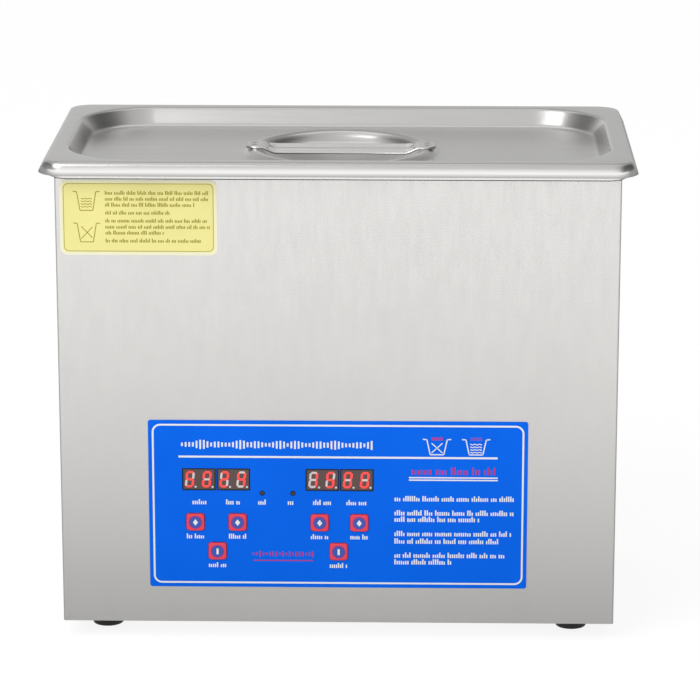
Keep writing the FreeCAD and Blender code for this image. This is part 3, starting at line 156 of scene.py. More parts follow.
def makeFloor():
    # pale paper: white where it is looked at, and for the steel brighter away from the object
    data = bpy.data.meshes.new("floor")
    span = studio["paperSpan"]
    data.from_pydata([(-span, -span, 0), (span, -span, 0), (span, span, 0), (-span, span, 0)],
                     [], [(0, 1, 2, 3)])
    floor = bpy.data.objects.new("floor", data)
    scene.collection.objects.link(floor)
    surface = bpy.data.materials.new("floorPaper")
    surface.use_nodes = True
    tree = surface.node_tree
    shader = tree.nodes["Principled BSDF"]
    shader.inputs["Base Color"].default_value = (*[studio["paperTone"]] * 3, 1)
    shader.inputs["Roughness"].default_value = 0.9
    seen = tree.nodes.new("ShaderNodeEmission")
    seen.inputs["Strength"].default_value = studio["paperGlow"]
    given = tree.nodes.new("ShaderNodeEmission")
    forward = rangeNode(tree, placeAxes(tree, "Object")["Y"], *studio["paperRange"],
                        studio["paperFar"], studio["paperNear"])
    tree.links.new(forward, given.inputs["Strength"])
    lit = tree.nodes.new("ShaderNodeMixShader")
    lit.inputs[0].default_value = studio["glowShare"]
    tree.links.new(shader.outputs[0], lit.inputs[1])
    tree.links.new(seen.outputs[0], lit.inputs[2])
    tree.links.new(cameraMix(tree, given.outputs[0], lit.outputs[0]),
                   tree.nodes["Material Output"].inputs["Surface"])
    data.materials.append(surface)


makeCamera()
makeWorld()
makeFloor()
areaLight("keyLight", studio["keyPlace"], studio["lightAim"], studio["keySize"],
          studio["keyPower"])
areaLight("topLight", studio["topPlace"], studio["lightAim"], studio["topSize"],
          studio["topPower"])
scene.view_settings.view_transform = "Standard"
print("studio set")


# shared shader groups
def newGroup(name, inputs, outputs):
    group = bpy.data.node_groups.new(name, "ShaderNodeTree")
    for label, kind, value in inputs:
        socket = group.interface.new_socket(name=label, in_out="INPUT", socket_type=kind)
        socket.default_value = value
    for label, kind in outputs:
        group.interface.new_socket(name=label, in_out="OUTPUT", socket_type=kind)
    return group, group.nodes.new("NodeGroupInput"), group.nodes.new("NodeGroupOutput")


def makeLinenGroup():
    # rolled linen emboss: rows of small raised pips, set over by half a pitch on every other row
    group, begin, end = newGroup("linenEmboss", [("Pitch", "NodeSocketFloat", 0.0016)],
                                 [("Height", "NodeSocketFloat")])
    x, y, z = placeAxes(group, "Object")
    across = mathNode(group, "ADD", x, y)
    turn = mathNode(group, "DIVIDE", 2 * math.pi, begin.outputs["Pitch"])
    waveAcross = mathNode(group, "COSINE", mathNode(group, "MULTIPLY", across, turn))
    waveUp = mathNode(group, "COSINE", mathNode(group, "MULTIPLY", z, turn))
    weave = mathNode(group, "MULTIPLY", waveAcross, waveUp)
    lifted = mathNode(group, "MULTIPLY_ADD", weave, 0.5, 0.5)
    pips = mathNode(group, "POWER", lifted, 1.6)
    group.links.new(pips, end.inputs["Height"])
    return group


def noiseNode(group, where, scale, detail):
    noise = group.nodes.new("ShaderNodeTexNoise")
    noise.inputs["Detail"].default_value = detail
    if isinstance(scale, float):
        noise.inputs["Scale"].default_value = scale
    else:
        group.links.new(scale, noise.inputs["Scale"])
    group.links.new(where, noise.inputs["Vector"])
    return noise.outputs[0]


def makeBrushGroup():
    # brushed or polished steel: long fine scratches along one direction and broad soft cloudiness
    group, begin, end = newGroup("steelGrain",
                                 [("Stretch", "NodeSocketVector", (1, 1, 1)),
                                  ("Cloud Scale", "NodeSocketFloat", 9.0)],
                                 [("Scratch", "NodeSocketFloat"), ("Cloud", "NodeSocketFloat")])
    where = group.nodes.new("ShaderNodeTexCoord")
    stretch = group.nodes.new("ShaderNodeVectorMath")
    stretch.operation = "MULTIPLY"
    group.links.new(where.outputs["Object"], stretch.inputs[0])
    group.links.new(begin.outputs["Stretch"], stretch.inputs[1])
    fine = noiseNode(group, stretch.outputs[0], 1.0, 3.0)
    broad = noiseNode(group, where.outputs["Object"], begin.outputs["Cloud Scale"], 2.0)
    group.links.new(fine, end.inputs["Scratch"])
    group.links.new(broad, end.inputs["Cloud"])
    return group


def makeGrainGroup():
    # moulded or printed surface: fine grain over a slow change of tone, with a little settled dust
    group, begin, end = newGroup("mouldGrain",
                                 [("Scale", "NodeSocketFloat", 900.0)],
                                 [("Grain", "NodeSocketFloat"), ("Tone", "NodeSocketFloat"),
                                  ("Dust", "NodeSocketFloat")])
    where = group.nodes.new("ShaderNodeTexCoord")
    grain = noiseNode(group, where.outputs["Object"], begin.outputs["Scale"], 4.0)
    tone = noiseNode(group, where.outputs["Object"], 24.0, 2.0)
    face = group.nodes.new("ShaderNodeNewGeometry")
    up = group.nodes.new("ShaderNodeSeparateXYZ")
    group.links.new(face.outputs["Normal"], up.inputs[0])
    upward = mathNode(group, "MAXIMUM", up.outputs["Z"], 0.0)
    dust = mathNode(group, "MULTIPLY", upward, tone)
    group.links.new(grain, end.inputs["Grain"])
    group.links.new(tone, end.inputs["Tone"])
    group.links.new(dust, end.inputs["Dust"])
    return group


linenEmboss = makeLinenGroup()
steelGrain = makeBrushGroup()
mouldGrain = makeGrainGroup()


# materials
def startMaterial(name):
    material = bpy.data.materials.new(name)
    material.use_nodes = True
    tree = material.node_tree
    return material, tree, tree.nodes["Principled BSDF"]


def placeGroup(tree, group):
    node = tree.nodes.new("ShaderNodeGroup")
    node.node_tree = group
    return node


def mixTone(tree, factor, dark, light):
    ramp = tree.nodes.new("ShaderNodeMix")
    ramp.data_type = "RGBA"
    ramp.inputs["A"].default_value = (*dark, 1)
    ramp.inputs["B"].default_value = (*light, 1)
    tree.links.new(factor, ramp.inputs["Factor"])
    return ramp.outputs["Result"]


def spread(tree, value, low, high):
    # noise mostly stays between 0.3 and 0.7: that band is spread over the range asked for
    return rangeNode(tree, value, 0.3, 0.7, low, high, kind="LINEAR")


def bumpFrom(tree, height):
    # heights are in metres already
    bump = tree.nodes.new("ShaderNodeBump")
    bump.inputs["Strength"].default_value = 1.0
    bump.inputs["Distance"].default_value = 1.0
    tree.links.new(height, bump.inputs["Height"])
    return bump.outputs["Normal"]


def steelMaterial(name, colour, roughness, stretch, scratchDepth, cloud=9.0, linenPitch=0.0,
                  linenDepth=0.0):
    material, tree, shader = startMaterial(name)
    grain = placeGroup(tree, steelGrain)
    grain.inputs["Stretch"].default_value = stretch
    grain.inputs["Cloud Scale"].default_value = cloud
    dark = tuple(c * 0.95 for c in colour)
    tree.links.new(mixTone(tree, grain.outputs["Cloud"], dark, colour),
                   shader.inputs["Base Color"])
    shader.inputs["Metallic"].default_value = 1.0
    low, high = roughness
    tree.links.new(spread(tree, grain.outputs["Scratch"], low, high), shader.inputs["Roughness"])
    height = mathNode(tree, "MULTIPLY", grain.outputs["Scratch"], scratchDepth)
    if linenPitch:
        linen = placeGroup(tree, linenEmboss)
        linen.inputs["Pitch"].default_value = linenPitch
        raised = mathNode(tree, "MULTIPLY", linen.outputs["Height"], linenDepth)
        height = mathNode(tree, "ADD", height, raised)
    tree.links.new(bumpFrom(tree, height), shader.inputs["Normal"])
    return material


def plasticMaterial(name, colour, roughness, scale=900.0, depth=0.00002, dust=0.0, coat=0.0,
                    sheen=0.0, specular=0.5, glow=None, glowPower=0.0):
    material, tree, shader = startMaterial(name)
    grain = placeGroup(tree, mouldGrain)
    grain.inputs["Scale"].default_value = scale
    dark = tuple(c * 0.86 for c in colour)
    light = tuple(min(1.0, c * 1.06 + 0.002) for c in colour)
    tone = mixTone(tree, grain.outputs["Tone"], dark, light)
    if dust:
        settle = tree.nodes.new("ShaderNodeMix")
        settle.data_type = "RGBA"
        settle.inputs["B"].default_value = (0.42, 0.41, 0.39, 1)
        tree.links.new(tone, settle.inputs["A"])
        tree.links.new(mathNode(tree, "MULTIPLY", grain.outputs["Dust"], dust),
                       settle.inputs["Factor"])
        tone = settle.outputs["Result"]
    tree.links.new(tone, shader.inputs["Base Color"])
    low, high = roughness
    tree.links.new(spread(tree, grain.outputs["Grain"], low, high), shader.inputs["Roughness"])
    shader.inputs["Specular IOR Level"].default_value = specular
    shader.inputs["Coat Weight"].default_value = coat
    shader.inputs["Sheen Weight"].default_value = sheen
    if glow:
        shader.inputs["Emission Color"].default_value = (*glow, 1)
        shader.inputs["Emission Strength"].default_value = glowPower
    height = mathNode(tree, "MULTIPLY", grain.outputs["Grain"], depth)
    tree.links.new(bumpFrom(tree, height), shader.inputs["Normal"])
    return material


caseSteel = steelMaterial("caseSteel", (0.70, 0.69, 0.675), (0.36, 0.44), (300, 300, 60), 0.000004,
                          cloud=5.0, linenPitch=0.0016, linenDepth=0.00007)
plainSteel = steelMaterial("plainSteel", (0.66, 0.65, 0.64), (0.30, 0.42), (60, 900, 900),
                           0.000004)
lidSteel = steelMaterial("lidSteel", (0.72, 0.71, 0.70), (0.20, 0.27), (25, 1100, 1100), 0.000003)
strapSteel = steelMaterial("strapSteel", (0.74, 0.73, 0.72), (0.20, 0.28), (40, 1400, 1400),
                           0.000003)
tankSteel = steelMaterial("tankSteel", (0.68, 0.68, 0.67), (0.24, 0.34), (900, 900, 40), 0.000003)
basketSteel = steelMaterial("basketSteel", (0.70, 0.70, 0.69), (0.18, 0.30), (700, 700, 700),
                            0.000004)
screwSteel = steelMaterial("screwSteel", (0.62, 0.62, 0.61), (0.22, 0.36), (900, 900, 900),
                           0.000006)
massSteel = steelMaterial("massSteel", (0.42, 0.42, 0.43), (0.35, 0.5), (300, 300, 1200), 0.000008)
castAluminium = steelMaterial("castAluminium", (0.80, 0.80, 0.81), (0.30, 0.45),
                              (300, 300, 1200), 0.000008)
nickelPlate = steelMaterial("nickelPlate", (0.74, 0.71, 0.66), (0.12, 0.24), (500, 500, 500),
                            0.000003)
turnedBrass = steelMaterial("turnedBrass", (0.80, 0.60, 0.28), (0.22, 0.36), (900, 200, 900),
                            0.000004)
chromeWire = steelMaterial("chromeWire", (0.80, 0.80, 0.80), (0.08, 0.16), (400, 400, 400),
                           0.000001)
footRubber = plasticMaterial("footRubber", (0.022, 0.022, 0.022), (0.62, 0.85), 1400, 0.00006,
                             dust=0.5, sheen=0.2)
gasketRubber = plasticMaterial("gasketRubber", (0.03, 0.03, 0.03), (0.6, 0.8), 1200, 0.00004)
panelFilm = plasticMaterial("panelFilm", (0.0, 0.155, 0.99), (0.40, 0.48), 1500, 0.000006,
                            specular=0.06)
labelFilm = plasticMaterial("labelFilm", (0.93, 0.86, 0.34), (0.42, 0.55), 1500, 0.000006,
                            specular=0.15)
labelCream = plasticMaterial("labelCream", (0.95, 0.92, 0.66), (0.42, 0.55), 1500, 0.000006,
                             specular=0.15)
labelInk = plasticMaterial("labelInk", (0.34, 0.29, 0.02), (0.5, 0.6), 1500, 0.000004,
                           specular=0.15)
printWhite = plasticMaterial("printWhite", (0.98, 0.99, 1.0), (0.4, 0.5), 1500, 0.000004,
                             specular=0.15)
printRed = plasticMaterial("printRed", (0.62, 0.045, 0.20), (0.4, 0.5), 1500, 0.000004,
                           specular=0.12)
displayFace = plasticMaterial("displayFace", (0.095, 0.052, 0.050), (0.16, 0.24), 1200, 0.000002,
                              coat=0.5)
displayRim = plasticMaterial("displayRim", (0.008, 0.008, 0.01), (0.3, 0.4), 1200, 0.000003)
segmentLit = plasticMaterial("segmentLit", (0.85, 0.05, 0.04), (0.3, 0.4), 900, 0.0,
                             glow=(1.0, 0.05, 0.05), glowPower=0.6)
segmentOff = plasticMaterial("segmentOff", (0.80, 0.70, 0.69), (0.3, 0.4), 900, 0.0)
ledLens = plasticMaterial("ledLens", (0.02, 0.012, 0.012), (0.08, 0.16), 800, 0.0, coat=0.6)
keyRed = plasticMaterial("keyRed", (0.98, 0.065, 0.105), (0.28, 0.36), 1500, 0.000006,
                         specular=0.3)
keyPurple = plasticMaterial("keyPurple", (0.20, 0.045, 0.36), (0.3, 0.4), 1500, 0.000004)
keyBlue = plasticMaterial("keyBlue", (0.03, 0.10, 0.52), (0.3, 0.4), 1500, 0.000004)
boardGreen = plasticMaterial("boardGreen", (0.015, 0.16, 0.06), (0.3, 0.45), 600, 0.00002,
                             coat=0.3)
componentBlack = plasticMaterial("componentBlack", (0.03, 0.03, 0.03), (0.4, 0.55), 900, 0.00002)
piezoCeramic = plasticMaterial("piezoCeramic", (0.58, 0.55, 0.47), (0.45, 0.6), 900, 0.00002)
heaterSilicone = plasticMaterial("heaterSilicone", (0.62, 0.16, 0.04), (0.5, 0.7), 500, 0.00006)
leverVinyl = plasticMaterial("leverVinyl", (0.66, 0.02, 0.025), (0.30, 0.42), 700, 0.00003,
                             dust=0.15)
moduleBlack = plasticMaterial("moduleBlack", (0.018, 0.018, 0.019), (0.42, 0.6), 1600, 0.00004,
                              dust=0.2)
rockerBlack = plasticMaterial("rockerBlack", (0.014, 0.014, 0.015), (0.14, 0.22), 900, 0.000004,
                              coat=0.3)
ribbonGrey = plasticMaterial("ribbonGrey", (0.50, 0.50, 0.51), (0.45, 0.55), 900, 0.00001)
fanBlack = plasticMaterial("fanBlack", (0.02, 0.02, 0.022), (0.35, 0.5), 1500, 0.00002)
print("materials made:", len(bpy.data.materials))

nodeFinish = {
    "case_wrap": caseSteel, "rear_panel": caseSteel, "base_plate": plainSteel,
    "screws": screwSteel, "panel_overlay": panelFilm, "notice_label": labelFilm,
    "tank": tankSteel, "tank_gasket": gasketRubber, "transducer_bolts": screwSteel,
    "heater_pads": heaterSilicone, "temperature_probe": turnedBrass,
    "thermal_cutout": componentBlack, "drain_spigot": tankSteel, "drain_hose": gasketRubber,
    "valve_body": nickelPlate, "hose_tail": nickelPlate, "valve_ball": nickelPlate,
    "valve_lever": leverVinyl, "piezo_stacks": piezoCeramic,
    "basket_frame": basketSteel, "basket_hooks": basketSteel, "control_board": boardGreen,
    "board_standoffs": turnedBrass, "led_pair": ledLens, "tact_switches": componentBlack,
    "ribbon_cable": ribbonGrey, "power_module": moduleBlack, "inlet_pins": nickelPlate,
    "fuse_drawer": moduleBlack, "power_rocker": rockerBlack, "generator_board": boardGreen,
    "generator_parts": componentBlack, "heat_sink": castAluminium, "fan_frame": fanBlack,
    "fan_rotor": fanBlack, "fan_guard": chromeWire,
}
families = {"foot_": footRubber, "transducer_horn_": castAluminium, "back_mass_": massSteel,
            "display_": displayFace, "key_": keyRed}
for name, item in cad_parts.items():
    finish = nodeFinish.get(name) or next(
        (m for start, m in families.items() if name.startswith(start)), None)
    if finish:
        item.data.materials.clear()
        item.data.materials.append(finish)
        print("finish", name, finish.name)


# surface helpers
def newPiece(name, points, faces, material, body, smooth=True):
    mesh = bpy.data.meshes.new(name)
    mesh.from_pydata(points, [], faces)
    mesh.update()
    mesh.polygons.foreach_set("use_smooth", [smooth] * len(mesh.polygons))
    mesh.materials.append(material)
    piece = bpy.data.objects.new(name, mesh)
    scene.collection.objects.link(piece)
    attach(piece, body)
    return piece


def gridFaces(rows, columns, closeRows=False, closeColumns=False):
    # quads of a grid whose point (row, column) has number row * columns + column
    row = np.arange(rows if closeRows else rows - 1)[:, None]
    column = np.arange(columns if closeColumns else columns - 1)[None, :]
    nextRow = (row + 1) % rows
    nextColumn = (column + 1) % columns
    quads = np.stack([row * columns + column, row * columns + nextColumn,
                      nextRow * columns + nextColumn, nextRow * columns + column], axis=-1)
    return quads.reshape(-1, 4)


def smoothStep(value, start, stop):
    share = np.clip((value - start) / (stop - start), 0.0, 1.0)
    return share * share * (3 - 2 * share)


def addThickness(piece, thickness):
    wall = piece.modifiers.new("wall", "SOLIDIFY")
    wall.thickness = thickness
    wall.offset = -1.0


# lid pan
lidPan = {
    "lipSlope": 3.3, "lipHeight": 6.8, "flatBand": 9.3, "wellSlope": 6.0, "wellDepth": 10.0,
    "cornerRadius": 14.0, "wellCorner": 40.0, "sheet": 0.8,
    "foldRadius": 2.4, "lipRadius": 2.4, "footRadius": 4.0, "footRun": 4.8,
    "ringRadius": 56.0,            # where the flat floor meets the pressed ring
    "straightLong": 34, "straightShort": 18, "arcSteps": 22,
    "foldSteps": 6, "floorRings": 9,
    # pressed ring and hand dish: radius from the middle, height above the floor
    "dish": ((56, 0), (55.4, 0.1), (54.6, 0.5), (53.6, 1.1), (52.6, 1.65), (51.6, 2.1),
             (50.6, 2.4), (49.6, 2.58), (48.6, 2.6), (47.6, 2.45), (46.6, 2.1), (45.6, 1.5),
             (44.8, 0.7), (44.1, -0.3), (43.2, -1.6), (41.2, -3.4), (38, -5.2), (33, -7.5),
             (27, -9.9), (20, -12.3), (13, -14.0), (6, -14.9), (0.6, -15.0)),
}


def roundedRing(halfX, halfY, corner, spec):
    # points round a rectangle with rounded corners, the same number on each side and corner
    turns = (np.arange(spec["arcSteps"]) + 0.5) / spec["arcSteps"] * (math.pi / 2)
    sides = []
    for quarter, (signX, signY) in enumerate(((1, 1), (-1, 1), (-1, -1), (1, -1))):
        start = quarter * math.pi / 2
        arcX = signX * (halfX - corner) + corner * np.cos(start + turns)
        arcY = signY * (halfY - corner) + corner * np.sin(start + turns)
        sides.append(np.stack([arcX, arcY], axis=1))
        count = spec["straightLong"] if quarter % 2 == 0 else spec["straightShort"]
        share = np.linspace(0, 1, count)[:, None]
        fromX = signX * (halfX - corner) + corner * math.cos(start + math.pi / 2)
        fromY = signY * (halfY - corner) + corner * math.sin(start + math.pi / 2)
        if quarter == 0:
            goal = (-(halfX - corner), halfY)
        elif quarter == 1:
            goal = (-halfX, -(halfY - corner))
        elif quarter == 2:
            goal = (halfX - corner, -halfY)
        else:
            goal = (halfX, halfY - corner)
        begin = np.array([[fromX, fromY]])
        sides.append(begin + (np.array([goal]) - begin) * share)
    return np.concatenate(sides)


def filletProfile(corners, radii, steps):
    # a bent line through the corners, with each bend replaced by an arc of its radius
    out = [corners[0]]
    for before, at, after, radius in zip(corners, corners[1:], corners[2:], radii):
        a, p, b = np.array(before, float), np.array(at, float), np.array(after, float)
        toA, toB = (a - p) / np.linalg.norm(a - p), (b - p) / np.linalg.norm(b - p)
        half = math.acos(float(np.clip(toA @ toB, -1, 1))) / 2
        bisector = (toA + toB) / np.linalg.norm(toA + toB)
        centre = p + bisector * radius / math.sin(half)
        first = p + toA * radius / math.tan(half) - centre
        last = p + toB * radius / math.tan(half) - centre
        for share in np.linspace(0, 1, steps):
            mixed = first * (1 - share) + last * share
            out.append(tuple(centre + mixed / np.linalg.norm(mixed) * radius))
    out.append(corners[-1])
    return np.array(out)


def makeLidPan(spec):
    # rings nest inwards from the lip to the well floor, then turn into circles and follow the dish
    middleX = (lidLow[0] + lidHigh[0]) / 2 / mm
    middleY = (lidLow[1] + lidHigh[1]) / 2 / mm
    halfX = (lidHigh[0] - lidLow[0]) / 2 / mm
    halfY = (lidHigh[1] - lidLow[1]) / 2 / mm
    lipFoot = lidHigh[2] / mm - spec["lipHeight"]
    flatEnd = spec["lipSlope"] + spec["flatBand"]
    wellEnd = flatEnd + spec["wellSlope"]
    floor = spec["lipHeight"] - spec["wellDepth"]
    corners = [(0, 0), (spec["lipSlope"], spec["lipHeight"]), (flatEnd, spec["lipHeight"]),
               (wellEnd, floor), (wellEnd + spec["footRun"], floor)]
    radii = (spec["lipRadius"], spec["foldRadius"], spec["footRadius"])
    line = filletProfile(corners, radii, spec["foldSteps"])
    rings = []
    for inset, level in line:
        outer = spec["cornerRadius"] - min(inset, spec["lipSlope"])
        inner = spec["wellCorner"] - max(inset - flatEnd, 0)
        share = float(smoothStep(np.array(inset), spec["lipSlope"], flatEnd))
        corner = outer * (1 - share) + inner * share
        ring = roundedRing(halfX - inset, halfY - inset, corner, spec)
        rings.append(np.column_stack([ring, np.full(len(ring), level)]))
    edge = rings[-1]
    angle = np.arctan2(edge[:, 1], edge[:, 0])
    circle = np.column_stack([np.cos(angle), np.sin(angle)]) * spec["ringRadius"]
    for share in np.linspace(0, 1, spec["floorRings"] + 1)[1:-1]:
        flat = edge[:, :2] * (1 - share) + circle * share
        rings.append(np.column_stack([flat, np.full(len(flat), floor)]))
    for radius, rise in spec["dish"]:
        ring = circle / spec["ringRadius"] * radius
        rings.append(np.column_stack([ring, np.full(len(ring), floor + rise)]))
    stack = np.array(rings)
    rows, columns = stack.shape[:2]
    points = stack.reshape(-1, 3) + np.array([middleX, middleY, lipFoot])
    faces = gridFaces(rows, columns, closeColumns=True).tolist()
    faces.append([(rows - 1) * columns + k for k in range(columns)])
    piece = newPiece("lidPan", (points * mm).tolist(), faces, lidSteel, "lid")
    addThickness(piece, spec["sheet"] * mm)
    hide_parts("lid_pan")
    return piece


lidPanPiece = makeLidPan(lidPan)
lidFloor = lidHigh[2] - lidPan["wellDepth"] * mm
print("lid pan made, faces:", len(lidPanPiece.data.polygons))


# lid strap
lidStrap = {
    "halfLength": 53.0, "halfWidth": 9.0, "sheet": 1.2, "beadClear": 1.2, "drop": 0.4,
    "bendStart": 36.0, "bendEnd": 45.0, "ribPlace": 6.6, "ribRise": 2.0, "ribWidth": 1.25,
    "ribFade": (37.0, 43.0), "groove": 1.1, "grooveWidth": 2.6,
    "endRound": 7.0, "endNarrow": 0.62, "endPower": 2.4, "beadHeight": 2.6,
    "weldX": 48.6, "weldY": 3.1, "weldDepth": 0.5, "weldRadius": 1.5,
    "stepsAlong": 190, "stepsAcross": 56,
}


def makeLidStrap(spec):
    # a strap over the dish: flat ends on the ring, a dropped middle and two pressed ribs along it
    middleX = (lidLow[0] + lidHigh[0]) / 2 / mm
    middleY = (lidLow[1] + lidHigh[1]) / 2 / mm
    floor = lidFloor / mm
    along = np.linspace(-1, 1, spec["stepsAlong"])[:, None]
    across = np.linspace(-1, 1, spec["stepsAcross"])[None, :]
    x = spec["halfLength"] * along + 0 * across
    roundEnd = spec["halfLength"] - spec["endRound"]
    past = np.clip((np.abs(x) - roundEnd) / spec["endRound"], 0, 1)
    narrow = spec["endNarrow"] * past ** spec["endPower"]
    width = spec["halfWidth"] * np.sqrt(np.clip(1 - narrow, 0.0, 1))
    y = width * across
    top = floor + spec["beadHeight"] + spec["beadClear"]
    lowered = floor - spec["drop"] + spec["sheet"]
    down = 1 - smoothStep(np.abs(x), spec["bendStart"], spec["bendEnd"])
    z = top * (1 - down) + lowered * down
    fade = 1 - smoothStep(np.abs(x), *spec["ribFade"])
    for side in (-1, 1):
        z = z + spec["ribRise"] * fade * np.exp(-((y - side * spec["ribPlace"])
                                                  / spec["ribWidth"]) ** 2)
    z = z - spec["groove"] * fade * np.exp(-(y / spec["grooveWidth"]) ** 2)
    for sideX in (-1, 1):
        for sideY in (-1, 1):
            away = ((x - sideX * spec["weldX"]) ** 2 + (y - sideY * spec["weldY"]) ** 2)
            z = z - spec["weldDepth"] * np.exp(-away / spec["weldRadius"] ** 2)
    points = np.stack([x + middleX, y + middleY, z], axis=-1).reshape(-1, 3)
    faces = gridFaces(spec["stepsAlong"], spec["stepsAcross"])[:, ::-1].tolist()
    piece = newPiece("lidStrap", (points * mm).tolist(), faces, strapSteel, "lid")
    addThickness(piece, spec["sheet"] * mm)
    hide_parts("lid_handle")
    return piece


strapPiece = makeLidStrap(lidStrap)
print("lid strap made, faces:", len(strapPiece.data.polygons))


# flat prints: outlines in millimetres on the front, x across and z up
def frontPrint(name, outlines, material, level, body="housing", film=0.06):
    # every outline becomes one flat face at the given level, backed by a film of ink
    points, faces = [], []
    for outline in outlines:
        start = len(points)
        points.extend((x * mm, level - film * mm, z * mm) for x, z in outline)
        faces.append(list(range(start, start + len(outline))))
    piece = newPiece(name, points, faces, material, body, smooth=False)
    addThickness(piece, film * mm)
    return piece


def bar(x, z, width, height):
    # a rectangle about its middle, turned so that it faces the front
    a, b = width / 2, height / 2
    return [(x - a, z - b), (x + a, z - b), (x + a, z + b), (x - a, z + b)]


def stroke(points, width):
    # one four-cornered face for each leg of a bent line
    faces = []
    for (x0, z0), (x1, z1) in zip(points, points[1:]):
        long = math.hypot(x1 - x0, z1 - z0)
        sideX, sideZ = (z1 - z0) / long * width / 2, -(x1 - x0) / long * width / 2
        faces.append([(x0 + sideX, z0 + sideZ), (x1 + sideX, z1 + sideZ),
                      (x1 - sideX, z1 - sideZ), (x0 - sideX, z0 - sideZ)])
    return faces


def roundedLoop(x0, z0, x1, z1, radius, steps=7):
    loop = []
    for quarter, (cx, cz) in enumerate(((x1 - radius, z1 - radius), (x0 + radius, z1 - radius),
                                        (x0 + radius, z0 + radius), (x1 - radius, z0 + radius))):
        for share in np.linspace(0, 1, steps):
            turn = (quarter + share) * math.pi / 2
            loop.append((cx + radius * math.cos(turn), cz + radius * math.sin(turn)))
    return loop


def borderLine(x0, z0, x1, z1, radius, width):
    # the strip between two rounded loops, as a chain of four-cornered faces
    outer = roundedLoop(x0, z0, x1, z1, radius)
    inner = roundedLoop(x0 + width, z0 + width, x1 - width, z1 - width, radius - width)
    count = len(outer)
    return [[inner[k], outer[k], outer[(k + 1) % count], inner[(k + 1) % count]]
            for k in range(count)]


def disc(x, z, radius, steps=28):
    turns = np.arange(steps) / steps * 2 * math.pi
    return [(x + radius * math.cos(t), z + radius * math.sin(t)) for t in turns]


wordBars = {"heights": (0.58, 0.66, 0.66, 0.98), "pitch": 0.385, "space": 0.36,
            "firstWord": (3, 8), "nextWord": (3, 9)}


def textBars(x0, x1, z, height, seed, stem=0.24):
    # a line of print as plain upright bars of changing height, in groups like words
    draw = np.random.default_rng(seed)
    bars, x, left = [], x0, int(draw.integers(*wordBars["firstWord"]))
    while x < x1:
        tall = height * float(draw.choice(wordBars["heights"]))
        bars.append(bar(x, z - height / 2 + tall / 2, height * stem, tall))
        x += height * wordBars["pitch"]
        left -= 1
        if left == 0:
            x += height * wordBars["space"]
            left = int(draw.integers(*wordBars["nextWord"]))
    return bars


def waveBars(x0, x1, z, height, count, thick):
    # a row of upright bars whose heights swell and fall like a sound wave
    place = np.linspace(x0, x1, count)
    share = np.linspace(0, 1, count)
    least, slow, fast = 0.36, 4.5, 31.0
    beat = np.abs(np.sin(share * math.pi * slow)) * np.abs(np.cos(share * fast))
    swell = least + (1 - least) * beat
    return [bar(x, z, thick, height * s) for x, s in zip(place, swell)]


def tub(x, z, width, height, line):
    # outline of a small bath with a lip on each side
    foot, shoulder, drop = width * 0.24, width * 0.36, 0.2
    low, high = z - height / 2, z + height / 2
    path = [(x - width / 2, high), (x - shoulder, high - drop), (x - foot, low),
            (x + foot, low), (x + shoulder, high - drop), (x + width / 2, high)]
    return stroke(path, line)


def wavyLines(x, z, width, rows, pitch, line):
    rise, halfWaves, steps = 0.28, 5, 11
    faces = []
    for row in range(rows):
        level = z + (row - (rows - 1) / 2) * pitch
        path = [(x + (s - 0.5) * width, level + rise * math.cos(s * halfWaves * math.pi))
                for s in np.linspace(0, 1, steps)]
        faces += stroke(path, line)
    return faces


def crossOut(x, z, reach, legs, line):
    # two crossing strokes: each leg has its height at the left and at the right
    faces = []
    for left, right in legs:
        faces += stroke([(x - reach, z + left), (x + reach, z + right)], line)
    return faces


def frontCentre(low, high):
    return (low[0] + high[0]) / 2 / mm, (low[2] + high[2]) / 2 / mm


frontPrints = {
    "border": (2.1, 1.0, 4.6),               # inset, width, corner radius
    "title": (-86.0, 18.6, 113.1, 5.4, 53, 1.0),
    "rule": (-88.0, 88.0, 106.1, 1.1),
    "captions": ((-80.2, -73.2), (-61.6, -53.8), (-43.8, -39.4), (-27.4, -23.0),
                 (-13.4, -3.8), (5.0, 15.6)),
    "captionLevel": 80.1, "captionHeight": 3.0,
    "keyRowSplit": 60.0, "keyTextHeight": 2.9, "headingStem": 0.17,
    "headingRuleWidth": 0.75, "markBars": (19, 0.75), "markRuleWidth": 0.55,
    "seeds": {"caption": 20, "key": 40, "line": 60, "heading": 80, "tub": 90},
    "upperKeyLevel": 60.2, "lowerKeyLevel": 43.5, "keyTextWidth": 9.2,
    "lineLevels": ((82.6, 96.9), (74.4, 97.0), (70.7, 77.8), (62.4, 95.8), (58.0, 89.6),
                   (49.8, 92.5), (45.9, 63.6)),
    "lineLeft": 31.7, "lineHeight": 3.1,
    "heading": (41.0, 87.0, 98.6, 4.4), "headingRules": (94.7, 93.3), "headingSpan": (39.2, 88.2),
    "mark": (-47.0, -14.0, 50.0, 3.6), "markRule": 46.2,
    "tubs": (54.6, 76.1, 112.4), "tubSize": (15.6, 8.8, 0.62),
    "cross": (3.0, ((-3.4, 2.2), (2.2, -3.4)), 0.55),    # half width, legs, line
    "waves": (0.8, 6.4, 4, 1.55, 0.5),       # below the middle, width, rows, pitch, line
    "tubNote": (-2.6, 2.8, 5.2, 2.8, 0.2),   # left, right, above the middle, height, stem
}
panelFront = panelLow[1]
panelLeft, panelRight = panelLow[0] / mm, panelHigh[0] / mm
panelFoot, panelHead = panelLow[2] / mm, panelHigh[2] / mm
keyBoxes = {name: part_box(name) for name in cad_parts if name.startswith("key_")}


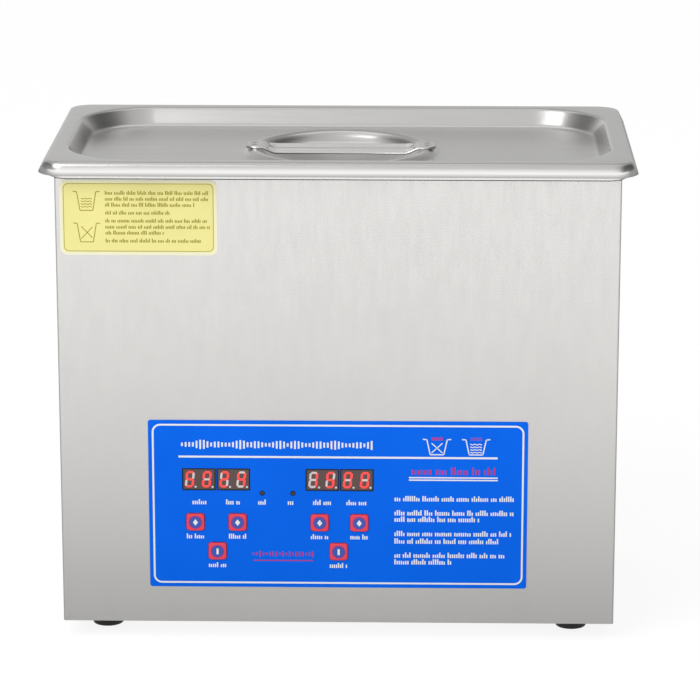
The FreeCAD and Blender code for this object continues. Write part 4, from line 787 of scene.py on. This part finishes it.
def makePanelPrints(spec):
    inset, width, radius = spec["border"]
    white = borderLine(panelLeft + inset, panelFoot + inset, panelRight - inset,
                       panelHead - inset, radius, width)
    white += waveBars(*spec["title"])
    x0, x1, z, width = spec["rule"]
    white.append(bar((x0 + x1) / 2, z, x1 - x0, width))
    for index, (x0, x1) in enumerate(spec["captions"]):
        white += textBars(x0, x1, spec["captionLevel"], spec["captionHeight"],
                          spec["seeds"]["caption"] + index)
    for index, (low, high) in enumerate(keyBoxes.values()):
        middle, centre = frontCentre(low, high)
        level = spec["upperKeyLevel"] if centre > spec["keyRowSplit"] else spec["lowerKeyLevel"]
        half = spec["keyTextWidth"] / 2
        white += textBars(middle - half, middle + half, level, spec["keyTextHeight"],
                          spec["seeds"]["key"] + index)
    for index, (z, end) in enumerate(spec["lineLevels"]):
        white += textBars(spec["lineLeft"], end, z, spec["lineHeight"],
                          spec["seeds"]["line"] + index)
    x0, x1 = spec["headingSpan"]
    for z in spec["headingRules"]:
        white.append(bar((x0 + x1) / 2, z, x1 - x0, spec["headingRuleWidth"]))
    crossed, waved, z = spec["tubs"]
    white += tub(crossed, z, *spec["tubSize"]) + tub(waved, z, *spec["tubSize"])
    white += crossOut(crossed, z, *spec["cross"])
    drop, *waveSizes = spec["waves"]
    white += wavyLines(waved, z - drop, *waveSizes)
    piece = frontPrint("panelPrintWhite", white, printWhite, panelFront)
    red = textBars(*spec["heading"], spec["seeds"]["heading"], stem=spec["headingStem"])
    x0, x1, z, height = spec["mark"]
    red += waveBars(x0, x1, z, height, *spec["markBars"])
    red.append(bar((x0 + x1) / 2, spec["markRule"], x1 - x0, spec["markRuleWidth"]))
    for middle in spec["tubs"][:2]:
        left, right, above, height, stem = spec["tubNote"]
        red += textBars(middle + left, middle + right, spec["tubs"][2] + above, height,
                        spec["seeds"]["tub"], stem=stem)
    piece = frontPrint("panelPrintRed", red, printRed, panelFront)


makePanelPrints(frontPrints)
print("panel prints made")

labelPrints = {
    "border": (2.0, 0.3, 3.0), "cream": 1.7,
    "textLeft": 25.0, "textRight": 81.5,     # from the left edge of the label
    "rows": ((34.6, 1.0), (31.3, 1.0), (28.0, 0.86), (23.6, 0.62), (19.2, 0.98), (15.8, 1.0),
             (12.5, 0.55), (8.1, 0.93)),
    "rowHeight": 2.2, "rowSeed": 110,
    "tubs": ((14.6, 30.0), (14.6, 12.5)),
    "tubSize": (14.5, 10.5, 0.45),
    "cross": (3.0, ((3.4, -3.0), (-3.4, 3.0)), 0.4),
    "waves": (1.0, 6.0, 4, 1.5, 0.38),
    "edgeGap": 0.02, "edgeCorner": 3.9,
}


def makeLabelPrints(spec):
    left, foot = labelLow[0] / mm, labelLow[2] / mm
    right, head = labelHigh[0] / mm, labelHigh[2] / mm
    front = labelLow[1]
    inset, width, radius = spec["border"]
    gap = spec["edgeGap"]
    cream = borderLine(left + gap, foot + gap, right - gap, head - gap, spec["edgeCorner"],
                       spec["cream"])
    piece = frontPrint("labelBorder", cream, labelCream, front, film=0.03)
    ink = borderLine(left + inset, foot + inset, right - inset, head - inset, radius, width)
    for index, (z, share) in enumerate(spec["rows"]):
        end = left + spec["textLeft"] + (spec["textRight"] - spec["textLeft"]) * share
        ink += textBars(left + spec["textLeft"], end, foot + z, spec["rowHeight"],
                        spec["rowSeed"] + index)
    (x, z), (crossX, crossZ) = spec["tubs"]
    ink += tub(left + x, foot + z, *spec["tubSize"])
    ink += tub(left + crossX, foot + crossZ, *spec["tubSize"])
    drop, *waveSizes = spec["waves"]
    ink += wavyLines(left + x, foot + z - drop, *waveSizes)
    ink += crossOut(left + crossX, foot + crossZ, *spec["cross"])
    piece = frontPrint("labelInk", ink, labelInk, front, film=0.04)


makeLabelPrints(labelPrints)
print("label prints made")

digits = {
    "centres": (-5.0, 4.4), "height": 9.4, "width": 4.9, "thick": 1.25, "slant": 0.10,
    "gap": 0.16, "dot": (3.15, -4.35, 0.62), "dotSteps": 14,
    "rimCorner": 0.5, "rimWidth": 0.45,
    # lit strokes: a top, b upper right, c lower right, d foot, e lower left, f upper left, g middle
    "lit": {"display_set": ("acdfg", "abcdef"), "display_actual": ("abdeg", "bcfg"),
            "display_minutes": ("bc", "acdfg"), "display_seconds": ("abcdef", "abcdef")},
}


def segmentOutline(letter, spec):
    # one stroke of a seven-stroke digit: a bar with pointed ends, then slanted
    half, tall, t, gap = spec["width"] / 2, spec["height"] / 2, spec["thick"] / 2, spec["gap"]
    tip, shoulder = t * 0.2, t * 0.8
    if letter in "adg":
        z = {"a": tall - t, "d": t - tall, "g": 0.0}[letter]
        reach = half - t - gap
        flat = [(-reach, z - tip), (-reach + shoulder, z - t), (reach - shoulder, z - t),
                (reach, z - tip), (reach, z + tip), (reach - shoulder, z + t),
                (-reach + shoulder, z + t), (-reach, z + tip)]
    else:
        x = (half - t) * (1 if letter in "bc" else -1)
        up = 1 if letter in "bf" else -1
        low, high = sorted((gap * up, (tall - t - gap) * up))
        flat = [(x - tip, low), (x + tip, low), (x + t, low + shoulder),
                (x + t, high - shoulder), (x + tip, high), (x - tip, high),
                (x - t, high - shoulder), (x - t, low + shoulder)]
    return [(x + z * spec["slant"], z) for x, z in flat]


def makeDigits(spec):
    for node, lit in spec["lit"].items():
        low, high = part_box(node)
        middle, level = frontCentre(low, high)
        lightOn, lightOff = [], []
        for offset, letters in zip(spec["centres"], lit):
            for letter in "abcdefg":
                outline = [(middle + offset + x, level + z)
                           for x, z in segmentOutline(letter, spec)]
                (lightOn if letter in letters else lightOff).append(outline)
            x, z, radius = spec["dot"]
            lightOff.append(disc(middle + offset + x, level + z, radius, spec["dotSteps"]))
        edge = borderLine(low[0] / mm, low[2] / mm, high[0] / mm, high[2] / mm,
                          spec["rimCorner"], spec["rimWidth"])
        for part, outlines, material in (("Lit", lightOn, segmentLit),
                                         ("Dark", lightOff, segmentOff),
                                         ("Rim", edge, displayRim)):
            piece = frontPrint(node + part, outlines, material, low[1])


makeDigits(digits)
print("digits made")

keyLook = {
    "capHalf": (5.0, 4.9), "rise": 0.5, "skirt": 0.45, "edge": 1.0, "corner": 2.0, "rings": 7,
    "ringRadius": 3.7, "discRadius": 3.0, "diamond": (1.45, 1.9), "barSize": (1.2, 3.4),
    "leastCorner": 0.3, "film": 0.03,
}


def makeKeys(spec):
    for name, (low, high) in keyBoxes.items():
        middle, level = frontCentre(low, high)
        halfX, halfZ = spec["capHalf"]
        front = low[1] / mm
        share = np.linspace(0, math.pi / 2, spec["rings"])
        rings = [(0.0, spec["skirt"])] + [
            (spec["edge"] * (1 - math.cos(t)), -spec["rise"] * math.sin(t)) for t in share]
        loops = []
        for inset, lift in rings:
            loop = roundedLoop(middle - halfX + inset, level - halfZ + inset,
                               middle + halfX - inset, level + halfZ - inset,
                               max(spec["corner"] - inset, spec["leastCorner"]), steps=9)
            loops.append([(x, front + lift, z) for x, z in loop])
        stack = np.array(loops)
        rows, columns = stack.shape[:2]
        faces = gridFaces(rows, columns, closeColumns=True)[:, ::-1].tolist()
        faces.append([(rows - 1) * columns + k for k in range(columns)][::-1])
        faces.append(list(range(columns)))
        cap = newPiece(name + "Cap", (stack.reshape(-1, 3) * mm).tolist(), faces, keyRed, name)
        top, film = (front - spec["rise"]) * mm, spec["film"]
        ring = frontPrint(name + "Ring", [disc(middle, level, spec["ringRadius"])], keyPurple,
                          top, name, film)
        dot = frontPrint(name + "Disc", [disc(middle, level, spec["discRadius"])], keyBlue,
                         top - film * mm, name, film)
        if "temperature" in name or "time" in name:
            a, b = spec["diamond"]
            sign = [[(middle, level - b), (middle + a, level), (middle, level + b),
                     (middle - a, level)]]
        else:
            sign = [bar(middle, level, *spec["barSize"])]
        mark = frontPrint(name + "Sign", sign, printWhite, top - 2 * film * mm, name, film)


makeKeys(keyLook)
print("keys made:", len(keyBoxes))


# woven wire basket
basketWeave = {
    "wire": 0.55, "lift": 0.5, "sides": 5, "corner": 21.0, "cornerFoot": 18.0, "taper": 4.0,
    "wallRows": 19, "around": {"straightLong": 42, "straightShort": 17, "arcSteps": 6},
    "footRows": (41, 19), "inset": 1.0,
    "footClear": 1.2, "rimClear": 0.8, "floorInset": 0.6, "rowMargin": 6.0,
    "hair": 0.001,                 # keeps the points of a cut wire end apart
}


def wireTubes(paths, normals, radius, sides, closed):
    # paths is wires x points x 3: a small ring of points is set square to each wire at each point
    if closed:
        along = np.roll(paths, -1, axis=1) - np.roll(paths, 1, axis=1)
    else:
        along = np.gradient(paths, axis=1)
    along = along / np.linalg.norm(along, axis=2, keepdims=True)
    side = np.cross(along, normals)
    side = side / np.linalg.norm(side, axis=2, keepdims=True)
    up = np.cross(side, along)
    turn = (np.arange(sides) / sides * 2 * math.pi)[None, None, :, None]
    ring = paths[:, :, None, :] + radius * (np.cos(turn) * side[:, :, None, :]
                                            + np.sin(turn) * up[:, :, None, :])
    wires, count = paths.shape[:2]
    one = gridFaces(count, sides, closeRows=closed, closeColumns=True)
    faces = (one[None] + (np.arange(wires) * count * sides)[:, None, None]).reshape(-1, 4)
    caps = []
    if not closed:
        for wire in range(wires):
            first = wire * count * sides
            last = first + (count - 1) * sides
            caps += [[first + k for k in range(sides)][::-1], [last + k for k in range(sides)]]
    return ring.reshape(-1, 3), faces.tolist() + caps


def makeBasketWeave(spec):
    # wall: rings and uprights over one rounded, tapering outline; foot: two crossing rows
    low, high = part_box("basket_mesh")
    middleX, middleY = (low[0] + high[0]) / 2 / mm, (low[1] + high[1]) / 2 / mm
    halfX = (high[0] - low[0]) / 2 / mm - spec["inset"]
    halfY = (high[1] - low[1]) / 2 / mm - spec["inset"]
    foot, rim = low[2] / mm + spec["footClear"], high[2] / mm - spec["rimClear"]
    rows = spec["wallRows"]
    wall = []
    for share in np.linspace(0, 1, rows):
        shrink = spec["taper"] * (1 - share)
        corner = spec["cornerFoot"] * (1 - share) + spec["corner"] * share
        ring = roundedRing(halfX - shrink, halfY - shrink, corner, spec["around"])
        wall.append(np.column_stack([ring, np.full(len(ring), foot + (rim - foot) * share)]))
    wall = np.array(wall)                                   # rows x around x 3
    ahead = np.roll(wall, -1, axis=1) - np.roll(wall, 1, axis=1)
    outward = np.stack([ahead[..., 1], -ahead[..., 0], 0 * ahead[..., 0]], axis=-1)
    outward /= np.maximum(np.linalg.norm(outward, axis=2, keepdims=True), 1e-6)
    weave = np.where((np.arange(rows)[:, None] + np.arange(wall.shape[1])[None, :]) % 2, 1.0, -1.0)
    weave = weave[..., None] * outward * spec["lift"]
    radius, sides = spec["wire"], spec["sides"]
    parts = [wireTubes(wall + weave, outward, radius, sides, True),
             wireTubes(np.swapaxes(wall - weave, 0, 1), np.swapaxes(outward, 0, 1), radius, sides,
                       False)]
    countX, countY = spec["footRows"]
    margin = spec["rowMargin"]
    reachX = halfX - spec["taper"] - spec["floorInset"]
    reachY = halfY - spec["taper"] - spec["floorInset"]
    gridX = np.linspace(-reachX + margin, reachX - margin, countX)
    gridY = np.linspace(-reachY + margin, reachY - margin, countY)
    cross = np.where((np.arange(countX)[:, None] + np.arange(countY)[None, :]) % 2, 1.0, -1.0)

    def floorWires(own, other, flip, swap):
        # the ends are cut where the outline turns round its corners
        ends = reachX if swap else reachY
        edge = np.concatenate([[-ends], other, [ends]])
        near = np.clip(np.abs(own) - ((reachY if swap else reachX) - spec["cornerFoot"]), 0, None)
        pull = spec["cornerFoot"] - np.sqrt(np.maximum(spec["cornerFoot"] ** 2 - near ** 2, 0))
        run = np.clip(edge[None, :], -(ends - pull)[:, None], (ends - pull)[:, None])
        sign = np.pad(cross.T if swap else cross, ((0, 0), (1, 1))) * flip
        level = foot + sign * spec["lift"]
        own = np.repeat(own[:, None], run.shape[1], axis=1)
        run = run + np.linspace(-spec["hair"], spec["hair"], run.shape[1])[None, :]
        order = (run, own, level) if swap else (own, run, level)
        return np.stack(order, axis=-1)

    for paths in (floorWires(gridX, gridY, 1, False), floorWires(gridY, gridX, -1, True)):
        upward = np.zeros_like(paths)
        upward[..., 2] = 1
        parts.append(wireTubes(paths, upward, radius, sides, False))
    points, faces, start = [], [], 0
    for block, quads in parts:
        points.append(block)
        faces += [[k + start for k in quad] for quad in quads]
        start += len(block)
    points = np.concatenate(points)
    points[:, 0] += middleX
    points[:, 1] += middleY
    piece = newPiece("basketWeave", (points * mm).tolist(), faces, basketSteel, "basket")
    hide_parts("basket_mesh")
    return piece


weavePiece = makeBasketWeave(basketWeave)
print("basket woven, faces:", len(weavePiece.data.polygons))
